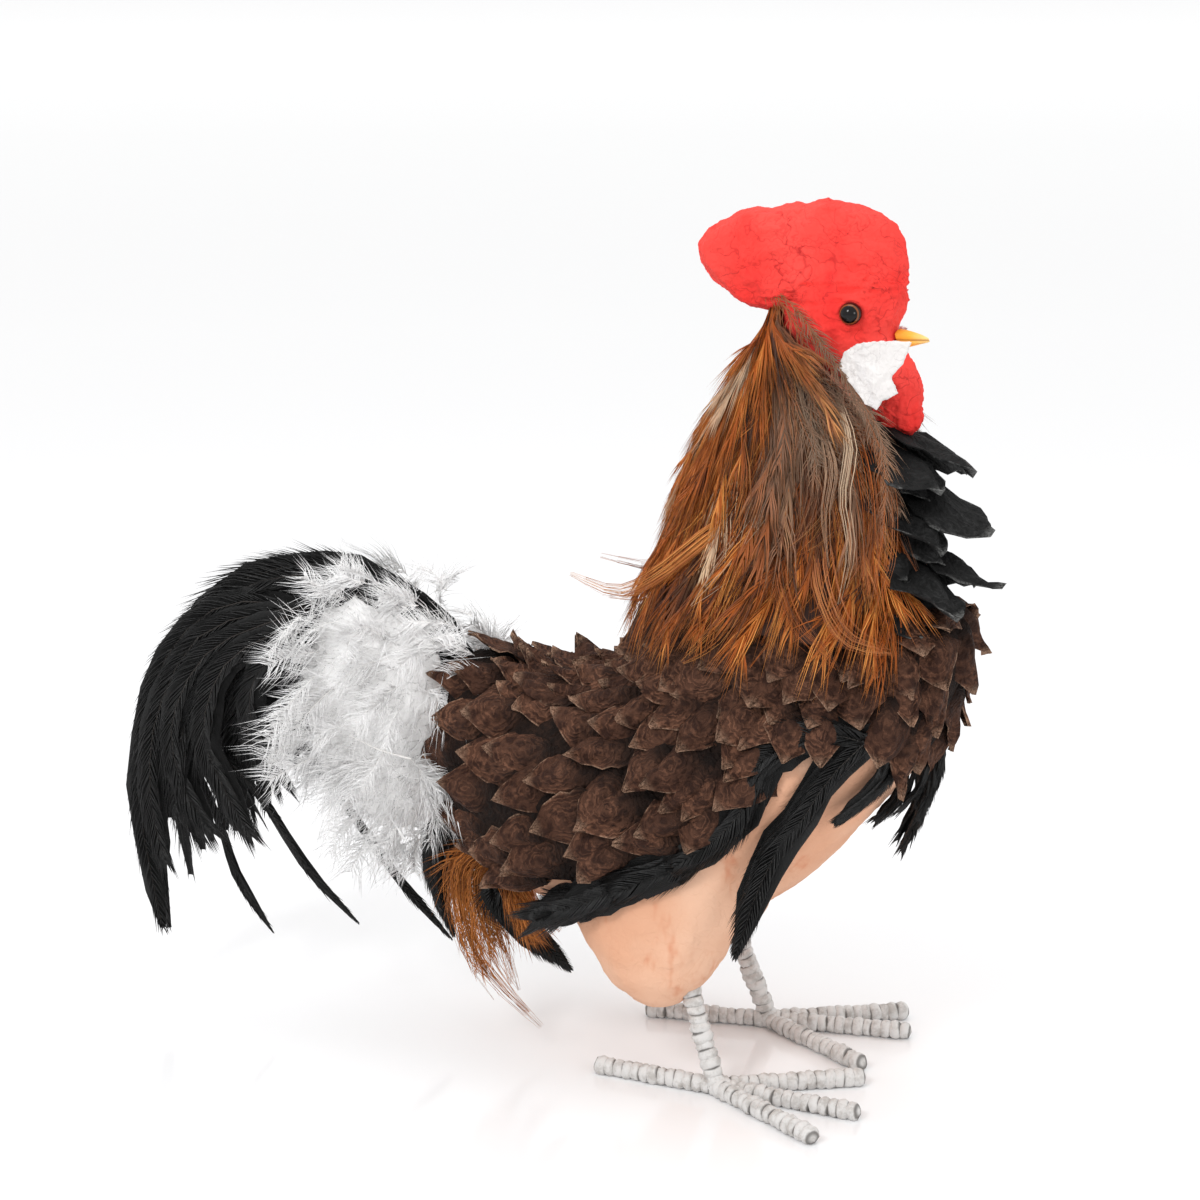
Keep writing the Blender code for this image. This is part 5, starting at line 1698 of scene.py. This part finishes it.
@dataclass
class Fluff:
    """White down round the root of the tail."""

    voxel: float = 3.2
    plumes: int = 172
    crest: int = 36
    half_width: float = 17.0
    strand: float = 20.0
    per_square_metre: float = 125000.0
    seed: int = 3

    SHRINK = (0.82, 0.72, 0.82)

    def build(self) -> None:
        """Builds the soft body, the down feathers on it and loose strands."""
        rng = np.random.default_rng(self.seed)
        body = even_copy("tail_fluff", self.voxel, rounds=14)
        points = mesh_points(body)
        normals = mesh_normals(body)
        waves = np.array([noise.fractal(Vector(p / 9), 1.0, 2.0, 3) for p in points])
        middle = points.mean(0)
        inner = middle + (points - middle) * np.array(self.SHRINK)
        move_points(body, inner + normals * (waves * 1.2)[:, None])
        for name in ("tone", "strand"):
            set_value(body, name, np.full(len(points), 0.0))
        show("fluff_body", body, Finish.WHITE_DOWN, ["tail_fluff"])
        points = mesh_points(body)
        normals = mesh_normals(body)
        down = Feathers()
        front = points[:, 0].max()
        flanks = np.flatnonzero((np.abs(normals[:, 1]) > 0.6) | (points[:, 0] > front - 22))
        for turn in range(self.plumes):
            k = rng.choice(flanks) if turn % 4 else rng.integers(len(points))
            away = unit(points[k] - middle)
            low = 0.5 if points[k][2] < 135 else 1.0
            sweep = np.array((-0.7, 0, -0.4 * low)) + away * 0.2 + rng.normal(0, 0.5, 3)
            if points[k][0] > front - 16:
                sweep = sweep + np.array((rng.uniform(0.2, 1.3), 0, 0))
            lean = unit(sweep - normals[k] * float(sweep @ normals[k]) + normals[k] * rng.uniform(0.3, 1.1))
            root = points[k] + normals[k] * rng.uniform(3, 13)
            self.plume(down, rng, root, lean, normals[k], rng.uniform(24, 42) * (0.6 + 0.4 * low))
        for _ in range(self.crest):
            share = rng.uniform(-0.18, 1)
            side = rng.choice((-1.0, 1.0))
            x, z = -140 - 72 * share, 206 + 36 * math.sin(share * 1.8)
            root = np.array((x, side * rng.uniform(2, 24), z))
            lean = unit(np.array((-0.9, side * 0.35, 0.42 - 0.2 * share)) + rng.normal(0, 0.25, 3))
            self.plume(down, rng, root, lean, unit(np.array((0, side, 0.8))), rng.uniform(22, 34))
        route = through(((-166, -42, 158), (-182, -45, 162), (-200, -44, 168)), 8)
        down.shaft(route, np.tile((0.0, -1.0, 0.2), (8, 1)), 0.9, 0.9)
        show("fluff_plumes", down.mesh("fluff_plumes"), Finish.WHITE_DOWN, [])
        strand = helper("strand", strand_mesh(self.strand, radius=0.16, curve=8.0))
        host = helper("fluff_host", body.copy())
        mesh = strand_tree().grow(
            host, Density=self.per_square_metre, Lean=(-0.5, 0.0, -0.45), Scatter=0.9, Shortest=0.5,
            Longest=1.6, Seed=7, Strand=strand, Material=Finish.WHITE_DOWN.material())
        drop(strand, host)
        show("fluff_strands", mesh, Finish.WHITE_DOWN, [])

    def plume(self, down: Feathers, rng: Rng, root: Array, lean: Array, face: Array,
              length: float) -> None:
        """Adds one down feather.

        Args:
            down: Where it goes.
            rng: The source of its unevenness.
            root: Where it grows.
            lean: The way it grows.
            face: The way off the body.
            length: Its length, in millimetres.
        """
        t = np.linspace(0, 1, 7)[:, None]
        bow = np.cross(lean, face) * rng.normal(0, 0.18)
        droop = np.array((0, 0, -0.2))
        route = root + length * (lean * t * 0.7 + bow * t**2 + droop * t**2)
        outward = np.tile(unit(face + rng.normal(0, 0.55, 3)), (7, 1))
        down.feather(route, outward, self.half_width * rng.uniform(0.6, 1.0), MARABOU_CUT, rng)


def strand_mesh(length: float, radius: float, curve: float) -> Mesh:
    """One curved strand of three sides at the origin, pointing up.

    Args:
        length: In millimetres.
        radius: At the root, in millimetres.
        curve: How far the tip bends aside, in millimetres.

    Returns:
        The strand.
    """
    points, sides = [], 3
    for share in (0.0, 0.35, 0.7):
        size = radius * (1 - 0.5 * share)
        for turn in (0.0, 2.094, 4.189):
            points.append((curve * share**2 + size * math.cos(turn), size * math.sin(turn), length * share))
    points.append((curve, 0, length))
    tip = len(points) - 1
    caps = [(2, 1, 0)] + [(tip - 3 + k, tip - 3 + (k + 1) % sides, tip) for k in range(sides)]
    return small_mesh("strand", points, tube(3, sides) + caps, tone=0.5, strand=0.6)


FLANK = (
    (((-62, 101), (-76, 95), (-92, 88)), 2, 10.2),
    (((-28, 120), (-52, 106), (-78, 96)), 2, 10.8),
    (((10, 152), (-16, 128), (-48, 109)), 2, 10.8),
    (((30, 184), (14, 152), (-14, 126)), 2, 9.6),
    (((82, 190), (58, 196), (34, 186), (20, 166)), 2, 9.6),
    (((76, 196), (56, 178), (38, 148), (24, 116), (17, 86)), 7, 9.0),
    (((86, 190), (76, 172), (56, 154)), 4, 6.6),
)


@dataclass
class Flank:
    """Black feathers along the lower edge of the coat on one side."""

    surface: Surface
    side: int
    lift: float = 4.2
    seed: int = 41

    def build(self) -> None:
        """Builds the feathers of the side."""
        rng = np.random.default_rng(self.seed + self.side)
        band = Feathers()
        for points, hang, half_width in FLANK:
            for copy in range(2):
                flat = through(points, 10)[: 10 if self.side < 0 else 8]
                flat = flat + rng.normal(0, 1.6, 2) * copy
                route, outward = [], []
                for k, (x, z) in enumerate(flat):
                    start = np.array((x, self.side * 90.0, z))
                    found = self.surface.hit(start, np.array((0, -self.side, 0.0)))
                    point = self.surface.near(start)[0] if found is None else found
                    normal = self.surface.near(point)[1]
                    if route and abs(point[1]) < abs(route[-1][1]) - 7:
                        point = np.array((x, self.side * (abs(route[-1][1]) - 6), z))
                        normal = np.array((0.0, self.side, 0.0))
                    route.append(point + normal * (self.lift + copy * 1.2 + hang * (k / 9) ** 1.5))
                    outward.append(normal)
                band.feather(np.array(route), np.array(outward), half_width, FLANK_CUT, rng)
        name = f"flank_barbs_{word(self.side)}"
        nodes = [f"flank_feathers_{word(self.side)}"]
        show(name, band.mesh(name), Finish.BLACK_FEATHER, nodes)


VENT = (
    (((-146, -14, 124), (-160, -16, 112), (-163, -18, 86), (-153, -20, 56)), 6.0, "black", 3),
    (((-130, -22, 112), (-146, -26, 98), (-137, -28, 52), (-102, -24, 14)), 8.0, "rust", 5),
    (((-126, -16, 104), (-136, -20, 92), (-130, -22, 60), (-117, -20, 30)), 9.0, "rust", 5),
    (((-120, -26, 104), (-112, -34, 92), (-104, -34, 76), (-98, -30, 64)), 8.0, "rust", 4),
    (((-112, -20, 98), (-124, -26, 88), (-108, -26, 68), (-87, -22, 46)), 7.0, "black", 3),
    (((-118, 22, 100), (-134, 26, 88), (-128, 26, 62), (-112, 22, 48)), 9.0, "rust", 4),
)


@dataclass
class Vent:
    """Black and rust feathers that droop under the tail."""

    strands: int = 26
    strand: float = 0.34
    seed: int = 51

    def build(self) -> None:
        """Builds the feathers in their two colours."""
        rng = np.random.default_rng(self.seed)
        kinds = {"black": Feathers(), "rust": Feathers()}
        for points, half_width, kind, copies in VENT:
            for copy in range(copies):
                table = np.array(points, float) + rng.normal(0, 3.5, (1, 3)) * (copy > 0)
                table[-1] += rng.normal(0, 6.0, 3) * (copy > 0)
                route = through(table, 12)[: 12 - copy]
                tangent = unit(np.gradient(route, axis=0))
                aside = -1.0 if table[1, 1] <= 0 else 1.0
                face = unit(np.array((0.25, aside, 0.1)) + rng.normal(0, 0.2, 3))
                outward = unit(np.tile(face, (len(route), 1)) - tangent * (tangent @ face)[:, None])
                if kind == "black":
                    kinds[kind].feather(route, outward, half_width, FLANK_CUT, rng)
                else:
                    kinds[kind].lock(route, outward, half_width * 0.8, self.strands, self.strand, rng)
                    kinds[kind].feather(route[:9], outward[:9], half_width, VENT_CUT, rng)
        black, rust = kinds["black"].mesh("vent_black"), kinds["rust"].mesh("vent_rust")
        show("vent_black", black, Finish.BLACK_FEATHER, [])
        show("vent_rust", rust, Finish.RUST_FEATHER, ["vent_feathers"])


BREAST_TUFT = (
    (((95, 0, 176), (95, -4, 164), (90, -6, 148)), 3.4),
    (((90, 8, 172), (91, 8, 150), (82, 6, 127)), 3.74),
    (((90, -8, 172), (87, -14, 158), (76, -14, 143)), 3.4),
)


@dataclass
class Tuft:
    """Ragged black feathers under the breast."""

    seed: int = 61

    def build(self) -> None:
        """Builds the tuft."""
        rng = np.random.default_rng(self.seed)
        tuft = Feathers()
        for points, half_width in BREAST_TUFT:
            for copy in range(3):
                table = np.array(points, float) + rng.normal(0, 3.0, (1, 3)) * (copy > 0)
                route = through(table, 9)
                outward = np.tile(unit(np.array((0.6, -0.6, 0.2)) + rng.normal(0, 0.3, 3)), (9, 1))
                tuft.feather(route, outward, half_width, SICKLE_CUT, rng)
        mesh = tuft.mesh("breast_tuft_barbs")
        show("breast_tuft_barbs", mesh, Finish.BLACK_FEATHER, ["breast_tuft"])


@dataclass
class HeadPaper:
    """Head, comb and wattle in crumpled red paper."""

    voxel: float = 0.95
    eye: tuple[float, float] = (54.9, 393.5)
    lid_radius: float = 6.6
    lid_height: float = 0.9

    def build(self) -> None:
        """Builds the paper with its folds over the brow, round the eyes and on the wattle."""
        mesh = even_copy("head_comb", self.voxel, rounds=12)
        crumple(mesh, fold=(17.0, 17.0, 17.0), height=1.9, fine=0.3, seed=3.0)
        points = mesh_points(mesh)
        x, z = points[:, 0], points[:, 2]
        brow = np.exp(-(((z - 403 - 0.08 * (x - 50)) / 6.5) ** 2)) * np.clip((x - 4) / 10, 0, 1)
        crumple(mesh, fold=(30.0, 14.0, 4.6), height=4.2, fine=0.2, seed=6.0, mask=brow)
        face = np.clip((399 - z) / 8, 0, 1)
        crumple(mesh, fold=(7.0, 7.0, 11.0), height=1.0, fine=0.3, seed=12.0, mask=face)
        wattle = np.clip((372 - z) / 10, 0, 1)
        crumple(mesh, fold=(4.0, 4.0, 4.0), height=0.9, fine=0.5, seed=20.0, mask=wattle)
        points = mesh_points(mesh)
        normals = mesh_normals(mesh)
        away = np.hypot(points[:, 0] - self.eye[0], points[:, 2] - self.eye[1])
        cheek = np.abs(normals[:, 1]) > 0.3
        lid = np.exp(-((away - self.lid_radius) ** 2)) * self.lid_height * cheek
        move_points(mesh, points + normals * lid[:, None])
        show("head_paper", mesh, Finish.RED_PAPER, ["head_comb"])


@dataclass
class BodyPaper:
    """Flesh-coloured paper over the foam body."""

    voxel: float = 3.2

    def build(self) -> None:
        """Builds the paper."""
        mesh = even_copy("body_core", self.voxel, rounds=10)
        crumple(mesh, fold=(26.0, 26.0, 34.0), height=1.6, fine=0.3, seed=9.0)
        show("body_paper", mesh, Finish.FLESH_PAPER, ["body_core"])


@dataclass
class EarLobe:
    """Folded white paper on one cheek."""

    side: int
    voxel: float = 0.6
    front_x: float = 50.0
    far_width: float = 0.62

    def build(self) -> None:
        """Builds the lobe."""
        node = f"ear_lobe_{word(self.side)}"
        mesh = even_copy(node, self.voxel, rounds=2)
        crumple(mesh, fold=(8.0, 8.0, 8.0), height=1.1, fine=0.5, seed=5.0 + self.side)
        if self.side > 0:
            points = mesh_points(mesh)
            points[:, 0] = self.front_x + (points[:, 0] - self.front_x) * self.far_width
            move_points(mesh, points)
        show(f"lobe_paper_{word(self.side)}", mesh, Finish.WHITE_PAPER, [node])


@dataclass
class Eye:
    """Glass eye on one side."""

    side: int
    radius: float = 5.5
    middle: tuple[float, float, float] = (54.9, 21.0, 393.5)

    def build(self) -> None:
        """Builds the bead as a turned shape that bulges outwards."""
        mould = Mould(("along",))
        rings, sides = 14, 32
        points, along = [], []
        for i in range(rings):
            turn = math.pi * 0.82 * (i + 0.35) / rings
            for k in range(sides):
                angle = 2 * math.pi * k / sides * -self.side
                points.append((math.sin(turn) * math.cos(angle), self.side * math.cos(turn),
                               math.sin(turn) * math.sin(angle)))
                along.append(min(turn / (math.pi / 2), 1.2))
        points += [(0, self.side, 0), (0, -self.side * 0.8, 0)]
        along += [0.0, 1.2]
        front, rear = rings * sides, rings * sides + 1
        triangles = []
        for k in range(sides):
            n = (k + 1) % sides
            triangles += [(front, n, k), (rear, (rings - 1) * sides + k, (rings - 1) * sides + n)]
        place = np.array((self.middle[0], self.side * self.middle[1], self.middle[2]))
        points = np.array(points) * self.radius + place
        mould.add(points, triangles, tube(rings, sides), along=np.array(along))
        name = f"eye_bead_{word(self.side)}"
        mesh = mould.mesh(name)
        face_out(mesh)
        show(name, mesh, Finish.EYE, [f"eye_{word(self.side)}"])


@dataclass
class Beak:
    """Closed beak with a groove between its halves."""

    voxel: float = 0.35
    seam_z: float = 379.6
    seam_width: float = 0.45
    seam_depth: float = 0.35

    def build(self) -> None:
        """Builds the horn."""
        mesh = even_copy("beak", self.voxel, rounds=5)
        points = mesh_points(mesh)
        normals = mesh_normals(mesh)
        beside = np.clip(np.abs(normals[:, 1]) * 2, 0, 1)
        seam = np.exp(-(((points[:, 2] - self.seam_z) / self.seam_width) ** 2)) * beside
        move_points(mesh, points - normals * (seam * self.seam_depth)[:, None])
        set_value(mesh, "along", np.clip((points[:, 0] - 72) / 17, 0, 1))
        set_value(mesh, "seam", seam)
        show("beak_horn", mesh, Finish.HORN, ["beak"])


@dataclass
class WrappedLeg:
    """One leg: shank and toes of wire wrapped in twisted paper."""

    side: int
    tree: Growth
    stance: float = 48.0
    shank: float = 5.0
    toe: float = 4.7
    pitch: float = 4.6
    dent: float = 0.55

    TOES = (("far", 28.0, 75.5), ("middle", -6.0, 75.5), ("near", -35.0, 75.5), ("back", 174.0, 65.0))
    PROFILE = ((-0.66, 0.72), (-0.42, 0.93), (-0.12, 1.04), (0.2, 1.02), (0.48, 0.90), (0.66, 0.72))

    def wires(self) -> list[tuple[Array, float]]:
        """The middle lines of the wires, with their radii."""
        hub = np.array((0.0, self.side * self.stance, self.toe - 0.6))
        knee = np.array((-15.5, self.side * 42.5, 53.0))
        socket = np.array((-21.5, self.side * 41.0, 68.0))
        lines = [(through([hub + (0, 0, 3), hub + (knee - hub) * 0.5, knee, socket], 12), self.shank)]
        for toe, angle, length in self.TOES:
            turn = math.radians(angle if self.side < 0 or toe in ("far", "near") else -angle)
            way = np.array((math.cos(turn), math.sin(turn), 0.0))
            points = [hub, hub + way * length * 0.5, hub + way * (length - 2.2)]
            lines.append((through(points, 12), self.toe))
        return lines

    def ring(self, radius: float) -> Mesh:
        """A crumpled ring of paper round the Z axis, closed to a low point at both ends."""
        sides, narrow, wide, point = 14, 0.72, 1.04, 0.92
        points, crest = [], []
        for row, (along, width) in enumerate(self.PROFILE):
            for k in range(sides):
                turn = 2 * math.pi * k / sides
                dent = 1 + 0.035 * math.sin(3 * turn + row) + 0.025 * math.sin(5 * turn - 2 * row)
                size = radius * width * dent
                points.append((size * math.cos(turn), size * math.sin(turn), self.pitch * along))
                # crest is 1 at the widest of the ring and 0 at its narrow ends; the painted shade of the
                # dips follows it.
                crest.append((width - narrow) / (wide - narrow))
        last = len(points)
        points += [(0, 0, -self.pitch * point), (0, 0, self.pitch * point)]
        crest += [0.8, 0.8]
        faces = tube(len(self.PROFILE), sides)
        for k in range(sides):
            n = (k + 1) % sides
            faces += [(n, k, last), (last - sides + k, last - sides + n, last + 1)]
        return small_mesh("ring", points, faces, crest=crest)

    def build(self) -> None:
        """Winds the paper and presses the soles flat."""
        name = f"leg_paper_{word(self.side)}"
        joined = bmesh.new()
        for k, (line, radius) in enumerate(self.wires()):
            wire = bpy.data.meshes.new("wire")
            edges = [(i, i + 1) for i in range(len(line) - 1)]
            wire.from_pydata([tuple(p) for p in STAND.out(line)], edges, [])
            host = helper("wire", wire)
            ring = helper("ring", self.ring(radius))
            mesh = self.tree.grow(host, Pitch=self.pitch * MM, Tilt=0.24, Unevenness=0.09,
                                  Seed=70 + 10 * self.side + k, Ring=ring, Material=Finish.LEG.material())
            joined.from_mesh(mesh)
            drop(host, ring)
        mesh = bpy.data.meshes.new(name)
        joined.to_mesh(mesh)
        joined.free()
        points = mesh_points(mesh)
        dents = np.array([noise.fractal(Vector(p / 2.6), 1.0, 2.0, 3) for p in points])
        points = points + mesh_normals(mesh) * (dents * self.dent)[:, None]
        points[:, 2] = np.maximum(points[:, 2], 0.0)
        move_points(mesh, points)
        show(name, mesh, Finish.LEG, [f"leg_{word(self.side)}"])


@dataclass
class Studio:
    """Floor, light and camera."""

    azimuth: float = 19.2
    elevation: float = 13.2
    distance: float = 1.4
    lens: float = 84.0
    target: tuple[float, float, float] = (-69.9, -24.3, 245.0)

    def build(self) -> None:
        """Builds the studio."""
        scene = bpy.context.scene
        scene.view_settings.view_transform = "Standard"
        target = Vector(STAND.out(np.array(self.target)))
        turn, rise = math.radians(self.azimuth), math.radians(self.elevation)
        back = Vector((math.sin(turn) * math.cos(rise), -math.cos(turn) * math.cos(rise), math.sin(rise)))
        data = bpy.data.cameras.new("photo_camera")
        data.lens = self.lens
        data.sensor_width = 36.0
        data.clip_end = 200.0
        camera = bpy.data.objects.new("photo_camera", data)
        camera.location = target + back * self.distance
        camera.rotation_euler = back.to_track_quat("Z", "Y").to_euler()
        scene.collection.objects.link(camera)
        scene.camera = camera
        self.floor()
        world = bpy.data.worlds.new("soft_white")
        world.use_nodes = True
        sky = world.node_tree.nodes["Background"]
        sky.inputs["Color"].default_value = (1.0, 1.0, 1.0, 1.0)
        sky.inputs["Strength"].default_value = 1.0
        scene.world = world
        self.lamp("key", (-500, -1500, 1500), 0.5, 12.0)
        self.lamp("fill", (1300, -900, 700), 0.5, 3.5)
        self.lamp("top", (-100, 300, 1900), 1.0, 6.0)
        self.lamp("glint", (-330, -1000, 900), 0.1, 0.6)

    def floor(self) -> None:
        """Lays the floor."""
        mould = Mould()
        rings, sides = 8, 48
        radii = [300 * 2.4**k for k in range(rings)]
        turns = [2 * math.pi * k / sides for k in range(sides)]
        points = [(r * math.cos(t), r * math.sin(t), -0.05) for r in radii for t in turns]
        points.append((0.0, 0.0, -0.05))
        triangles = [(len(points) - 1, k, (k + 1) % sides) for k in range(sides)]
        quads = [face[::-1] for face in tube(rings, sides)]
        mould.add(np.array(points), triangles, quads)
        mesh = mould.mesh("studio_floor")
        mesh.materials.append(Finish.FLOOR.material())
        floor = helper("studio_floor", mesh)

    def lamp(self, name: str, place: tuple[float, float, float], size: float, power: float) -> None:
        """Hangs a soft square lamp that looks at the bird."""
        data = bpy.data.lights.new(name, "AREA")
        data.size = size
        data.energy = power
        lamp = bpy.data.objects.new(name, data)
        start = Vector(STAND.out(np.array(place)))
        lamp.location = start
        aim = Vector(STAND.out(np.array((-80.0, 0.0, 220.0))))
        lamp.rotation_euler = (start - aim).to_track_quat("Z", "Y").to_euler()
        bpy.context.scene.collection.objects.link(lamp)


def main() -> None:
    """Builds the studio and then every piece of the bird."""
    logging.basicConfig(level=logging.INFO, format="%(name)s %(message)s", stream=sys.stdout)
    noise.seed_set(FOLD_SEED)
    Studio().build()
    surface = Surface()
    tree = wrapping_tree()
    for side in (-1, 1):
        WrappedLeg(side, tree).build()
        EarLobe(side).build()
        Eye(side).build()
        Flank(surface, side).build()
    HeadPaper().build()
    BodyPaper().build()
    Beak().build()
    Cape().build()
    Throat().build()
    Coat(surface).build()
    Tail().build()
    Sickles().build()
    Fluff().build()
    Vent().build()
    Tuft().build()
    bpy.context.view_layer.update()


if __name__ == "__main__":
    main()
